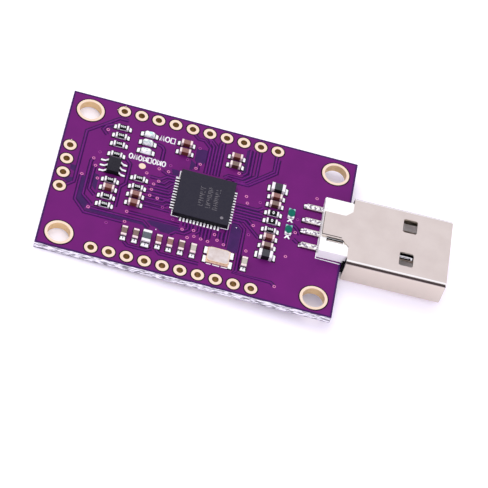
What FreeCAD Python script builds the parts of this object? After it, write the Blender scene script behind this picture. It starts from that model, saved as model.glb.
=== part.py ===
import FreeCAD, Part
import os
import re
import Sketcher

# USB to serial adapter module, in millimetres.
# +X runs along the board towards the tip of the plug, +Z points up from the
# component side, and the origin is the middle of the bottom of the whole part.

# Driving sizes
SIZES = {
    # board
    "board_length": 42.36,
    "board_width": 28.34,
    "board_thickness": 1.2,
    "land_thickness": 0.05,
    # header holes: two long rows and one short column
    "header_pitch": 2.54,
    "header_inset": 1.47,
    "header_start": 7.706,
    "header_count": 10,
    "header_hole": 1.0,
    "side_column_inset": 1.36,
    "side_column_shift": 0.31,
    "side_column_count": 4,
    # corner screw holes with a plated wall
    "mount_inset_x": 2.95,
    "mount_inset_y": 2.75,
    "mount_shift": -0.12,
    "mount_hole": 3.2,
    "mount_pad": 4.0,
    "plating": 0.05,
    # round test pad
    "test_pad": 1.0,
    # small chips, by family
    "chip_length": 1.6,
    "chip_width": 0.8,
    "ceramic_inset": 0.02,
    "resistor_height": 0.45,
    "resistor_end": 0.25,
    "capacitor_height": 0.8,
    "capacitor_end": 0.4,
    "ferrite_length": 2.0,
    "ferrite_width": 1.25,
    "ferrite_height": 0.9,
    "ferrite_end": 0.45,
    "fuse_length": 1.65,
    "fuse_width": 0.95,
    "fuse_height": 0.45,
    "fuse_end": 0.3,
    "fuse_notch": 0.36,
    # light emitting chips
    "led_height": 0.7,
    "led_base": 0.25,
    "led_end": 0.2,
    "lens_length": 1.5,
    "lens_top_length": 0.95,
    "lens_top_width": 0.6,
    # solder at a chip's end
    "solder_reach": 0.48,
    "solder_climb": 0.35,
    # controller in a flat no-lead package
    "controller_side": 8.0,
    "controller_height": 0.85,
    "controller_edge": 0.06,
    "terminal_pitch": 0.5,
    "terminals_per_side": 12,
    "terminal_width": 0.28,
    "terminal_reach": 0.6,
    "terminal_under": 0.4,
    "heat_pad": 5.4,
    # six-lead chip
    "sot_length": 2.9,
    "sot_width": 1.6,
    "sot_height": 1.1,
    "sot_standoff": 0.1,
    "sot_pitch": 0.95,
    "sot_span": 2.8,
    "sot_foot": 0.35,
    "sot_lead_width": 0.4,
    "sot_lead_gauge": 0.15,
    "sot_draft": 0.12,
    # crystal can
    "crystal_length": 3.2,
    "crystal_width": 2.5,
    "crystal_height": 0.5,
    "crystal_base": 0.3,
    "crystal_lid_margin": 0.08,
    "crystal_corner": 0.4,
    # plug shell, folded from one sheet
    "shell_width": 12.0,
    "shell_height": 4.5,
    "shell_above_board": 1.8,
    "shell_sheet": 0.3,
    "shell_edge": 0.65,
    "plug_reach": 14.92,
    "plug_setback": 0.4,
    "plug_shift": 0.61,
    "plug_skew": 1.3,
    "tip_chamfer": 0.12,
    "window_length": 2.05,
    "window_width": 2.4,
    "window_from_tip": 6.14,
    "window_offset": 3.0,
    "window_corner": 0.2,
    "tongue_reach": 3.5,
    "tongue_width": 4.4,
    "tongue_flare": 1.0,
    "seam_gap": 0.06,
    "seam_key": 1.1,
    "seam_key_neck": 0.7,
    "seam_key_depth": 0.8,
    "seam_key_place": 3.6,
    # plastic body of the plug
    "body_clearance": 0.03,
    "body_block_step": 1.17,
    "body_block_reach": 3.75,
    "body_block_height": 1.65,
    "body_edge_gap": 0.15,
    "groove_width": 0.7,
    "groove_start": 0.9,
    "groove_length": 2.4,
    "groove_depth": 0.55,
    "cavity_depth": 9.6,
    "blade_thickness": 1.84,
    "blade_recess": 0.45,
    # contacts of the plug
    "contact_gauge": 0.25,
    "contact_width": 0.9,
    "contact_proud": 0.08,
    "contact_inner": 1.0,
    "contact_outer": 3.5,
    "contact_recess": 1.6,
    "contact_stagger": 1.0,
    "contact_tail": 6.1,
    "contact_drop": 1.6,
    "contact_nose": 0.4,
    "contact_land_width": 1.0,
    "contact_land_reach": 6.5,
    "contact_solder_climb": 0.25,
}

# Where each small part sits: its column or row, and its place along it.
# A column is measured from the left edge, the middle or the plug end of the
# board, and a place in it from the long middle line, towards the far edge.
COLUMNS = {
    "column_a": ("left", 8.06),
    "column_b": ("left", 12.0),
    "column_c": ("middle", -3.72),
    "column_d": ("middle", 3.73),
    "column_e": ("right", -10.75),
    "column_f": ("right", -8.2),
}
COLUMN_PARTS = [
    ("resistor_1", "column_a", 9.5),
    ("resistor_2", "column_a", 7.9),
    ("resistor_3", "column_a", 6.3),
    ("resistor_4", "column_a", 4.35),
    ("six_lead_chip", "column_a", 1.98),
    ("resistor_5", "column_a", -0.45),
    ("capacitor_1", "column_a", -1.95),
    ("resistor_6", "column_a", -3.45),
    ("resistor_7", "column_a", -4.95),
    ("led_1", "column_b", 9.45),
    ("led_2", "column_b", 7.9),
    ("led_3", "column_b", 6.3),
    ("test_pad", "column_b", 3.65),
    ("resistor_8", "column_b", 1.13),
    ("resistor_9", "column_b", -0.47),
    ("capacitor_2", "column_b", -1.95),
    ("capacitor_3", "column_b", -3.45),
    ("capacitor_4", "column_c", 9.5),
    ("capacitor_5", "column_c", 7.9),
    ("capacitor_6", "column_d", 9.45),
    ("capacitor_7", "column_d", 7.9),
    ("ferrite_1", "column_e", 5.65),
    ("capacitor_8", "column_e", 4.1),
    ("capacitor_9", "column_e", 2.65),
    ("resistor_10", "column_e", 1.1),
    ("resistor_11", "column_e", -0.35),
    ("resistor_12", "column_e", -1.95),
    ("capacitor_10", "column_e", -3.4),
    ("capacitor_11", "column_e", -4.95),
    ("ferrite_2", "column_e", -6.6),
    ("fuse_1", "column_f", 1.9),
    ("fuse_2", "column_f", -1.1),
]
# The chips of the near row stand across the board, each measured from its middle.
ROW_PARTS = [
    ("capacitor_12", -9.52),
    ("capacitor_13", -7.87),
    ("ferrite_3", -6.32),
    ("capacitor_14", -4.57),
    ("capacitor_15", -2.97),
    ("capacitor_16", -1.32),
    ("capacitor_17", 0.38),
    ("crystal", 4.03),
    ("capacitor_18", 7.73),
]
SIZES["near_row_inset"] = 5.3
SIZES["controller_x"] = 0.46
SIZES["controller_y"] = 0.38
for column, (_, across) in COLUMNS.items():
    SIZES[column] = across
for part_name, _, along in COLUMN_PARTS:
    SIZES[part_name + "_y"] = along
for part_name, across in ROW_PARTS:
    SIZES[part_name + "_x"] = across

doc = FreeCAD.newDocument("usb_serial_adapter")
sheet = doc.addObject("Spreadsheet::Sheet", "sizes")
for row, (alias, number) in enumerate(SIZES.items(), start=1):
    sheet.set("A%d" % row, alias)
    sheet.set("B%d" % row, str(number))
    sheet.setAlias("B%d" % row, alias)
doc.recompute()

# Lengths that follow from the driving sizes, as the sheet's formulas
OVERALL = "(board_length + plug_reach * cos(plug_skew) + shell_width / 2 * sin(plug_skew))"
LEFT = "(-" + OVERALL + " / 2)"
RIGHT = "(" + LEFT + " + board_length)"
MIDDLE = "(" + LEFT + " + board_length / 2)"
TOP = "(shell_height - shell_above_board)"
LAND_TOP = "(" + TOP + " + land_thickness)"
HALF_WIDTH = "(board_width / 2)"
NEAR_ROW = "(near_row_inset - " + HALF_WIDTH + ")"
ZONES = {"left": LEFT, "middle": MIDDLE, "right": RIGHT}
# Heights in the plug's own frame, whose middle is the middle of the shell
BOARD_LEVEL = "(shell_height / 2 - shell_above_board)"
INNER_HEIGHT = "(shell_height / 2 - shell_sheet)"
BLADE_LEVEL = "(blade_thickness - " + INNER_HEIGHT + ")"
# The block behind the shell is narrower than the shell by a step on each side.
HALF_BLOCK = "(shell_width / 2 - body_block_step)"

# Two places closer than this are taken as one.
NEAR = 1e-4

nodes = []


def bound(text):
    """Give each word that names a size the name of the sheet."""
    def cell(word):
        name = word.group()
        return "sizes." + name if name in SIZES else name

    return re.sub(r"[a-z][a-z0-9_]*", cell, text)


def bind(thing, **formulas):
    """Tie properties to the sheet; a double underscore stands for a point."""
    for prop, text in formulas.items():
        thing.setExpression(prop.replace("__", "."), bound(text))


def place(thing, x, y, z):
    """Tie the place of a sub-part to the sheet."""
    bind(thing, Placement__Base__x=x, Placement__Base__y=y, Placement__Base__z=z)


def size(name):
    """The present value of a size."""
    return float(sheet.get(name))


def keep(thing, label):
    """Note a finished sub-part, which is written to a file of its own."""
    thing.Label = label
    nodes.append(thing)
    return thing


# Building blocks for bodies made from sketches

def new_body(name):
    return doc.addObject("PartDesign::Body", name)


def origin_part(body, role):
    return next(part for part in body.Origin.OriginFeatures if part.Role == role)


def new_sketch(body, name, plane, lift=None):
    """A sketch on one of the body's own planes, lifted along its normal."""
    sketch = body.newObject("Sketcher::SketchObject", name)
    sketch.AttachmentSupport = [(origin_part(body, plane), "")]
    sketch.MapMode = "FlatFace"
    if lift:
        bind(sketch, AttachmentOffset__Base__z=lift)
    return sketch


def pin_point(sketch, shape, end, across, up):
    """Tie a point of the sketch to the sheet, measured from the sketch's origin."""
    for kind, text in (("DistanceX", across), ("DistanceY", up)):
        number = sketch.addConstraint(Sketcher.Constraint(kind, -1, 1, shape, end, 1.0))
        sketch.setExpression("Constraints[%d]" % number, bound(text))


def draw_polygon(sketch, corners):
    """A closed outline; each corner is a pair of formulas."""
    first = sketch.GeometryCount
    count = len(corners)
    ring = [FreeCAD.Vector(10, 0, 0)]
    turn = FreeCAD.Rotation(FreeCAD.Vector(0, 0, 1), 360.0 / count)
    for _ in corners:
        ring.append(turn.multVec(ring[-1]))
    for start, end in zip(ring[:-1], ring[1:]):
        sketch.addGeometry(Part.LineSegment(start, end), False)
    for step in range(count):
        following = first + (step + 1) % count
        sketch.addConstraint(Sketcher.Constraint("Coincident", first + step, 2, following, 1))
    for step, (across, up) in enumerate(corners):
        pin_point(sketch, first + step, 1, across, up)


def rectangle(half_x, half_y, centre_x="0", centre_y="0"):
    """Corners of a rectangle about a centre."""
    corners = []
    for side_x, side_y in ((-1, -1), (1, -1), (1, 1), (-1, 1)):
        across = "%s + %d * (%s)" % (centre_x, side_x, half_x)
        up = "%s + %d * (%s)" % (centre_y, side_y, half_y)
        corners.append((across, up))
    return corners


def draw_circle(sketch, across, up, diameter):
    circle = Part.Circle(FreeCAD.Vector(1, 1, 0), FreeCAD.Vector(0, 0, 1), 1)
    number = sketch.addGeometry(circle, False)
    pin_point(sketch, number, 3, across, up)
    constraint = sketch.addConstraint(Sketcher.Constraint("Diameter", number, 1.0))
    sketch.setExpression("Constraints[%d]" % constraint, bound(diameter))


def pad(body, name, sketch, length, both_ways=False):
    feature = body.newObject("PartDesign::Pad", name)
    feature.Profile = sketch
    feature.Midplane = both_ways
    bind(feature, Length=length)
    doc.recompute()
    return feature


def pocket_through(body, name, sketch):
    """Cut the sketch right through, both ways from its plane."""
    before = body.Tip.Shape.Volume
    feature = body.newObject("PartDesign::Pocket", name)
    feature.Profile = sketch
    feature.Type = "ThroughAll"
    feature.Midplane = True
    doc.recompute()
    if feature.Shape.Volume >= before:
        raise ValueError(name + " cuts nothing")
    return feature


def pocket_down(body, name, sketch, depth):
    """Cut a sketch downwards from its plane to a depth."""
    before = body.Tip.Shape.Volume
    feature = body.newObject("PartDesign::Pocket", name)
    feature.Profile = sketch
    bind(feature, Length=depth)
    doc.recompute()
    if feature.Shape.Volume >= before:
        raise ValueError(name + " cuts nothing")
    return feature


def repeat(body, name, feature, axis, count, spacing):
    """Repeat a feature along one of the body's own axes."""
    pattern = body.newObject("PartDesign::LinearPattern", name)
    pattern.Originals = [feature]
    pattern.Direction = (origin_part(body, axis), [""])
    bind(pattern, Length="(%s) * (%s - 1)" % (spacing, count), Occurrences=count)
    body.Tip = pattern
    doc.recompute()
    return pattern


def round_edges(body, name, base, edges, radius, kind="PartDesign::Fillet"):
    """Fillet or chamfer the named edges of a feature."""
    feature = body.newObject(kind, name)
    feature.Base = (base, edges)
    bind(feature, **{"Radius" if kind.endswith("Fillet") else "Size": radius})
    doc.recompute()
    return feature


def edges_where(shape, test):
    """Names of a shape's edges that pass a test."""
    return ["Edge%d" % n for n, edge in enumerate(shape.Edges, start=1) if test(edge)]


def runs_along(edge, axis):
    """Whether a straight edge lies along the axis numbered 0, 1 or 2."""
    box = edge.BoundBox
    spans = (box.XLength, box.YLength, box.ZLength)
    others = sum(span for number, span in enumerate(spans) if number != axis)
    return spans[axis] > NEAR and others < NEAR


# Board

def make_board():
    """The bare board, drilled for the headers, the side column and the screws."""
    board = new_body("circuit_board_body")
    outline = new_sketch(board, "board_outline", "XY_Plane")
    draw_polygon(outline, rectangle("board_length / 2", HALF_WIDTH, "board_length / 2"))
    pad(board, "board_sheet", outline, "board_thickness")
    far_row = "(" + HALF_WIDTH + " - header_inset)"
    column_start = "side_column_shift - header_pitch * (side_column_count - 1) / 2"
    mount_y = "mount_shift - (" + HALF_WIDTH + " - mount_inset_y)"
    across_screws = "(board_length - 2 * mount_inset_x)"
    up_screws = "(board_width - 2 * mount_inset_y)"
    rows = [
        ("near_header", "header_start", "-" + far_row, "header_hole", "X_Axis"),
        ("far_header", "header_start", far_row, "header_hole", "X_Axis"),
        ("side_header", "side_column_inset", column_start, "header_hole", "Y_Axis"),
        ("near_screws", "mount_inset_x", mount_y, "mount_hole + 2 * plating", "X_Axis"),
        ("far_screws", "mount_inset_x", mount_y + " + " + up_screws,
         "mount_hole + 2 * plating", "X_Axis"),
    ]
    repeats = {
        "near_header": ("header_count", "header_pitch"),
        "far_header": ("header_count", "header_pitch"),
        "side_header": ("side_column_count", "header_pitch"),
        "near_screws": ("2", across_screws),
        "far_screws": ("2", across_screws),
    }
    for name, across, up, diameter, axis in rows:
        sketch = new_sketch(board, name + "_sketch", "XY_Plane")
        draw_circle(sketch, across, up, diameter)
        drill = pocket_through(board, name + "_drill", sketch)
        count, spacing = repeats[name]
        repeat(board, name + "_holes", drill, axis, count, spacing)
    place(board, LEFT, "0", TOP + " - board_thickness")
    return keep(board, "circuit_board")


def make_mount_rings():
    """The plated wall of each screw hole, with a flange on the component side."""
    ring = new_body("mount_ring_body")
    profile = new_sketch(ring, "mount_ring_profile", "XZ_Plane")
    bore = "mount_hole / 2"
    wall = "mount_hole / 2 + plating"
    rim = "mount_pad / 2"
    draw_polygon(profile, [
        (bore, "-board_thickness"), (wall, "-board_thickness"), (wall, "0"),
        (rim, "0"), (rim, "land_thickness"), (bore, "land_thickness"),
    ])
    turned = ring.newObject("PartDesign::Revolution", "mount_ring_turned")
    turned.Profile = profile
    turned.ReferenceAxis = (origin_part(ring, "Z_Axis"), [""])
    turned.Angle = 360
    doc.recompute()
    half_rows = size("board_width") / 2 - size("mount_inset_y")
    copies = []
    for side in (-1, 1):
        for across in (size("mount_inset_x"), size("board_length") - size("mount_inset_x")):
            copy = ring.Shape.copy()
            copy.translate(FreeCAD.Vector(across, size("mount_shift") + side * half_rows, 0))
            copies.append(copy)
    rings = doc.addObject("Part::Feature", "mount_rings")
    rings.Shape = Part.makeCompound(copies)
    place(rings, LEFT, "0", TOP)
    return keep(rings, "mount_rings")


def make_test_pad(across, up):
    """A round bare pad on the board."""
    disc = doc.addObject("Part::Cylinder", "test_pad")
    bind(disc, Radius="test_pad / 2", Height="land_thickness")
    place(disc, across, up, TOP)
    return keep(disc, "test_pad")


# Small chips

def new_box(name, length, width, height, x, z):
    """A box centred across, whose lower left end is at x and z."""
    box = doc.addObject("Part::Box", name)
    bind(box, Length=length, Width=width, Height=height)
    place(box, x, "-(" + width + ") / 2", z)
    return box


def chip_family(name):
    """The family of a small part, from its name."""
    return name.rsplit("_", 1)[0]


def family_sizes(family):
    """Length, width, height and end length of a family, as formulas."""
    lengths = {"ferrite": "ferrite_length", "fuse": "fuse_length"}
    widths = {"ferrite": "ferrite_width", "fuse": "fuse_width"}
    length = lengths.get(family, "chip_length")
    width = widths.get(family, "chip_width")
    return length, width, family + "_height", family + "_end"


def make_two_ended_chip(name):
    """A ceramic core between two metal end caps, which stand a little proud of it."""
    length, width, height, end = family_sizes(chip_family(name))
    core = new_box(
        name + "_core", length + " - 2 * " + end, width + " - 2 * ceramic_inset",
        height + " - 2 * ceramic_inset", end + " - " + length + " / 2", "ceramic_inset",
    )
    left = new_box(name + "_cap_a", end, width, height, "-" + length + " / 2", "0")
    right = new_box(name + "_cap_b", end, width, height, length + " / 2 - " + end, "0")
    return [core, left, right]


def make_fuse(name):
    """A flat chip whose metal ends each have a notch of half an octagon."""
    length, _, height, _ = family_sizes("fuse")
    core, left, right = make_two_ended_chip(name)
    parts = [core]
    for side, cap in ((-1, left), (1, right)):
        punch = doc.addObject("Part::Prism", cap.Name + "_punch")
        punch.Polygon = 8
        bind(punch, Circumradius="fuse_notch / 2", Height=height)
        place(punch, "%d * %s / 2" % (side, length), "0", "0")
        notched = doc.addObject("Part::Cut", cap.Name + "_notched")
        notched.Base = cap
        notched.Tool = punch
        parts.append(notched)
    return parts


def make_led(name):
    """A base plate with metal ends and a lens that narrows upwards."""
    length, width, _, end = family_sizes("led")
    plate = new_box(
        name + "_plate", length + " - 2 * " + end, width, "led_base",
        end + " - " + length + " / 2", "0",
    )
    left = new_box(name + "_end_a", end, width, "led_base", "-" + length + " / 2", "0")
    right = new_box(name + "_end_b", end, width, "led_base", length + " / 2 - " + end, "0")
    lens = doc.addObject("Part::Wedge", name + "_lens")
    # The wedge's own Y axis is its height, so it is turned to stand up.
    bind(
        lens,
        Xmin="-lens_length / 2", Xmax="lens_length / 2",
        X2min="-lens_top_length / 2", X2max="lens_top_length / 2",
        Ymin="0", Ymax="led_height - led_base",
        Zmin="-chip_width / 2", Zmax="chip_width / 2",
        Z2min="-lens_top_width / 2", Z2max="lens_top_width / 2",
    )
    lens.Placement.Rotation = FreeCAD.Rotation(FreeCAD.Vector(1, 0, 0), 90)
    bind(lens, Placement__Base__z="led_base")
    return [plate, left, right, lens]


def seat_chip(name, across, up, across_board=False):
    """Join a chip's solids as one component and stand it on the board."""
    makers = {"fuse": make_fuse, "led": make_led}
    solids = makers.get(chip_family(name), make_two_ended_chip)(name)
    chip = doc.addObject("Part::Compound", name)
    chip.Links = solids
    if across_board:
        chip.Placement.Rotation = FreeCAD.Rotation(FreeCAD.Vector(0, 0, 1), 90)
    place(chip, across, up, TOP)
    return keep(chip, name)


def solder_joint(length, width):
    """The fillet of solder from the board up the chip's end, towards +X."""
    end = size(length) / 2
    side = -size(width) / 2
    outline = [(end, 0), (end + size("solder_reach"), 0), (end, size("solder_climb"))]
    points = [FreeCAD.Vector(x, side, z) for x, z in outline]
    face = Part.Face(Part.makePolygon(points + points[:1]))
    return face.extrude(FreeCAD.Vector(0, size(width), 0))


def make_chip_solder(chips):
    """Both joints of every small chip, as one group of separate solids."""
    joints = []
    for chip in chips:
        length, width, _, _ = family_sizes(chip_family(chip.Label))
        joint = solder_joint(length, width)
        for half_turn in (0, 180):
            solid = joint.copy()
            solid.rotate(FreeCAD.Vector(0, 0, 0), FreeCAD.Vector(0, 0, 1), half_turn)
            solid.transformShape(chip.Placement.toMatrix(), True)
            joints.append(solid)
    solder = doc.addObject("Part::Feature", "chip_solder")
    solder.Shape = Part.makeCompound(joints)
    return keep(solder, "chip_solder")


# Controller

def make_controller():
    """A flat square package with a slight bevel round its top."""
    body = new_body("controller_body")
    outline = new_sketch(body, "controller_outline", "XY_Plane")
    draw_polygon(outline, rectangle("controller_side / 2", "controller_side / 2"))
    block = pad(body, "controller_block", outline, "controller_height")
    height = size("controller_height")
    top = edges_where(block.Shape, lambda edge: edge.BoundBox.ZMin > height - NEAR)
    round_edges(body, "controller_bevel", block, top, "controller_edge", "PartDesign::Chamfer")
    place(body, MIDDLE + " + controller_x", "controller_y", LAND_TOP)
    return keep(body, "controller")


def make_controller_lands():
    """Twelve soldered terminals on each side, and the heat pad in the middle."""
    land = size("land_thickness")
    side = size("controller_side") / 2
    reach = size("terminal_reach") + size("terminal_under")
    width = size("terminal_width")
    count = int(size("terminals_per_side"))
    heat = size("heat_pad")
    solids = [Part.makeBox(heat, heat, land, FreeCAD.Vector(-heat / 2, -heat / 2, 0))]
    for step in range(count):
        along = (step - (count - 1) / 2) * size("terminal_pitch")
        corner = FreeCAD.Vector(side - size("terminal_under"), along - width / 2, 0)
        for turn in range(4):
            terminal = Part.makeBox(reach, width, land, corner)
            terminal.rotate(FreeCAD.Vector(0, 0, 0), FreeCAD.Vector(0, 0, 1), 90 * turn)
            solids.append(terminal)
    lands = doc.addObject("Part::Feature", "controller_lands")
    lands.Shape = Part.makeCompound(solids)
    place(lands, MIDDLE + " + controller_x", "controller_y", TOP)
    return keep(lands, "controller_lands")


# Six-lead chip

def make_six_lead_body(across, up):
    """A moulded body whose sides draw in above and below the leads."""
    body = new_body("six_lead_moulding")
    profile = new_sketch(body, "six_lead_profile", "XZ_Plane")
    middle = "(sot_height + sot_standoff) / 2"
    draw_polygon(profile, [
        ("-sot_width / 2 + sot_draft", "sot_standoff"),
        ("sot_width / 2 - sot_draft", "sot_standoff"),
        ("sot_width / 2", middle),
        ("sot_width / 2 - sot_draft", "sot_height"),
        ("-sot_width / 2 + sot_draft", "sot_height"),
        ("-sot_width / 2", middle),
    ])
    pad(body, "six_lead_block", profile, "sot_length", both_ways=True)
    place(body, across, up, TOP)
    return keep(body, "six_lead_chip")


def gull_wing():
    """One lead, from its root in the side of the body down to its foot, towards +X."""
    gauge = size("sot_lead_gauge")
    root = size("sot_width") / 2
    toe = size("sot_span") / 2
    heel = toe - size("sot_foot")
    foot = size("land_thickness")
    level = (size("sot_height") + size("sot_standoff")) / 2
    draft = size("sot_draft") * gauge / (size("sot_height") - size("sot_standoff"))
    knee = (root + heel) / 2
    outline = [
        (root - draft, level - gauge / 2), (knee - gauge / 2, level - gauge / 2),
        (heel - gauge / 2, foot), (toe, foot), (toe, foot + gauge),
        (heel + gauge / 2, foot + gauge), (knee + gauge / 2, level + gauge / 2),
        (root - draft, level + gauge / 2), (root, level),
    ]
    half = size("sot_lead_width") / 2
    points = [FreeCAD.Vector(x, -half, z) for x, z in outline]
    face = Part.Face(Part.makePolygon(points + points[:1]))
    return face.extrude(FreeCAD.Vector(0, 2 * half, 0))


def make_six_lead_leads(across, up):
    """Three leads on each side, each standing on a land of its own."""
    land = size("land_thickness")
    foot = size("sot_foot")
    toe = size("sot_span") / 2
    width = size("sot_lead_width")
    corner = FreeCAD.Vector(toe - foot, -width / 2, 0)
    solids = []
    for side in (0, 180):
        for step in (-1, 0, 1):
            lead = gull_wing()
            pad_under = Part.makeBox(foot + size("sot_lead_gauge"), width, land, corner)
            for solid in (lead, pad_under):
                solid.translate(FreeCAD.Vector(0, step * size("sot_pitch"), 0))
                solid.rotate(FreeCAD.Vector(0, 0, 0), FreeCAD.Vector(0, 0, 1), side)
                solids.append(solid)
    leads = doc.addObject("Part::Feature", "six_lead_chip_leads")
    leads.Shape = Part.makeCompound(solids)
    place(leads, across, up, TOP)
    return keep(leads, "six_lead_chip_leads")


# Crystal

def make_crystal(across, up):
    """A ceramic tray, and the metal lid that is welded on it."""
    base = doc.addObject("Part::Box", "crystal_base")
    bind(base, Length="crystal_length", Width="crystal_width", Height="crystal_base")
    place(base, across + " - crystal_length / 2", up + " - crystal_width / 2", TOP)
    keep(base, "crystal_base")
    lid = new_body("crystal_lid_body")
    outline = new_sketch(lid, "crystal_lid_outline", "XY_Plane")
    half_x = "crystal_length / 2 - crystal_lid_margin"
    half_y = "crystal_width / 2 - crystal_lid_margin"
    draw_polygon(outline, rectangle(half_x, half_y))
    plate = pad(lid, "crystal_lid_plate", outline, "crystal_height - crystal_base")
    corners = edges_where(plate.Shape, lambda edge: runs_along(edge, 2))
    round_edges(lid, "crystal_lid_corners", plate, corners, "crystal_corner")
    place(lid, across, up, TOP + " + crystal_base")
    return keep(lid, "crystal_lid")


# Plug

def place_plug_part(thing, offset="0"):
    """Put a part of the plug at the board's end, turned by the plug's skew."""
    thing.Placement.Rotation = FreeCAD.Rotation(FreeCAD.Vector(0, 0, 1), size("plug_skew"))
    place(
        thing,
        RIGHT + " - (" + offset + ") * sin(plug_skew)",
        "plug_shift + (" + offset + ") * cos(plug_skew)",
        "shell_height / 2",
    )
    bind(thing, Placement__Rotation__Angle="plug_skew")


def seam_slit():
    """The fine gap where the folded sheet's two edges lock with dovetail keys."""
    rear = size("plug_setback")
    tip = size("plug_reach")
    beyond = size("shell_width")
    neck = size("seam_key_neck") / 2
    key = size("seam_key") / 2
    depth = size("seam_key_depth")
    outline = [(rear - beyond, -beyond), (tip + beyond, -beyond), (tip + beyond, 0)]
    for centre in (tip - size("seam_key_place"), rear + size("seam_key_place")):
        outline += [(centre + neck, 0), (centre + key, depth)]
        outline += [(centre - key, depth), (centre - neck, 0)]
    outline.append((rear - beyond, 0))
    floor = -size("shell_height") / 2
    points = [FreeCAD.Vector(x, y, floor) for x, y in outline]
    edge = Part.Face(Part.makePolygon(points + points[:1]))
    grown = edge.makeOffset2D(size("seam_gap"), 2)
    return grown.cut(edge).extrude(FreeCAD.Vector(0, 0, size("shell_sheet")))


def make_shell():
    """The plug's shell: one sheet folded round, with latch windows and a rear tongue."""
    shell = new_body("shell_fold")
    half_width = "shell_width / 2"
    half_height = "shell_height / 2"
    long_way = "plug_reach - plug_setback"
    section = new_sketch(shell, "shell_section", "YZ_Plane", "plug_setback")
    draw_polygon(section, rectangle(half_width, half_height))
    block = pad(shell, "shell_block", section, long_way)
    folds = edges_where(block.Shape, lambda edge: runs_along(edge, 0))
    rounded = round_edges(shell, "shell_folds", block, folds, "shell_edge")
    hollow = new_sketch(shell, "shell_hollow", "YZ_Plane", "plug_setback")
    inner_width = half_width + " - shell_sheet"
    draw_polygon(hollow, rectangle(inner_width, INNER_HEIGHT))
    opened = pocket_through(shell, "shell_opening", hollow)
    wall = size("shell_width") / 2 - size("shell_sheet")
    ceiling = size("shell_height") / 2 - size("shell_sheet")

    def inner_fold(edge):
        start = edge.Vertexes[0].Point
        inside = abs(abs(start.y) - wall) < NEAR and abs(abs(start.z) - ceiling) < NEAR
        return runs_along(edge, 0) and inside

    inner = edges_where(opened.Shape, inner_fold)
    round_edges(shell, "shell_inner_folds", opened, inner, "shell_edge - shell_sheet")
    windows = new_sketch(shell, "window_sketch", "XY_Plane")
    for side in ("-", ""):
        draw_polygon(windows, rectangle(
            "window_length / 2", "window_width / 2",
            "plug_reach - window_from_tip", side + "window_offset",
        ))
    punched = pocket_through(shell, "windows", windows)
    reach = size("window_offset") + size("window_width") / 2 + NEAR

    def window_corner(edge):
        box = edge.BoundBox
        return runs_along(edge, 2) and max(abs(box.YMin), abs(box.YMax)) < reach

    corners = edges_where(punched.Shape, window_corner)
    round_edges(shell, "window_corners", punched, corners, "window_corner", "PartDesign::Chamfer")
    tongue = new_sketch(shell, "tongue_outline", "XY_Plane", INNER_HEIGHT)
    straight = "tongue_width / 2"
    flared = "tongue_width / 2 + tongue_flare"
    into_wall = "plug_setback + shell_sheet"
    bend = "plug_setback - tongue_flare"
    draw_polygon(tongue, [
        ("-tongue_reach", "-" + straight), (bend, "-" + straight),
        ("plug_setback", "-(" + flared + ")"), (into_wall, "-(" + flared + ")"),
        (into_wall, flared), ("plug_setback", flared),
        (bend, straight), ("-tongue_reach", straight),
    ])
    tab = pad(shell, "rear_tongue", tongue, "shell_sheet")
    tip = size("plug_reach")
    wide = size("shell_width") / 2
    tall = size("shell_height") / 2

    def outer_tip_edge(edge):
        box = edge.BoundBox
        outside = max(abs(box.YMin), abs(box.YMax)) > wide - NEAR
        outside = outside or max(abs(box.ZMin), abs(box.ZMax)) > tall - NEAR
        return box.XMin > tip - NEAR and outside

    rim = edges_where(tab.Shape, outer_tip_edge)
    round_edges(shell, "tip_lead_in", tab, rim, "tip_chamfer", "PartDesign::Chamfer")
    slit = doc.addObject("Part::Feature", "seam_slit")
    slit.Shape = seam_slit()
    cut = doc.addObject("Part::Cut", "usb_shell")
    cut.Base = shell
    cut.Tool = slit
    place_plug_part(cut)
    return keep(cut, "usb_shell")


def make_contact(name, offset, setback):
    """A contact strip: soldered tail, step down inside the plastic, blade and nose."""
    contact = new_body(name + "_strip")
    profile = new_sketch(contact, name + "_profile", "XZ_Plane")
    tail = "-contact_tail"
    tail_low = BOARD_LEVEL + " + land_thickness"
    tail_high = tail_low + " + contact_gauge"
    blade_high = BLADE_LEVEL + " + contact_proud"
    blade_low = blade_high + " - contact_gauge"
    nose = "(plug_reach - contact_recess - %s)" % setback
    # A strip that bends by 45 degrees has its outer corner this share of its gauge further on.
    mitre = "contact_gauge * tan(22.5)"
    slant = "contact_gauge * sin(45)"
    draw_polygon(profile, [
        (tail, tail_low), ("contact_drop", tail_low), ("contact_drop", blade_low),
        (nose + " - contact_nose", blade_low), (nose, blade_low + " - contact_nose"),
        (nose + " + " + slant, blade_low + " - contact_nose + " + slant),
        (nose + " - contact_nose + " + mitre, blade_high),
        ("contact_drop + contact_gauge", blade_high),
        ("contact_drop + contact_gauge", tail_high), (tail, tail_high),
    ])
    pad(contact, name + "_blank", profile, "contact_width", both_ways=True)
    place_plug_part(contact, offset)
    return keep(contact, name)


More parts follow.
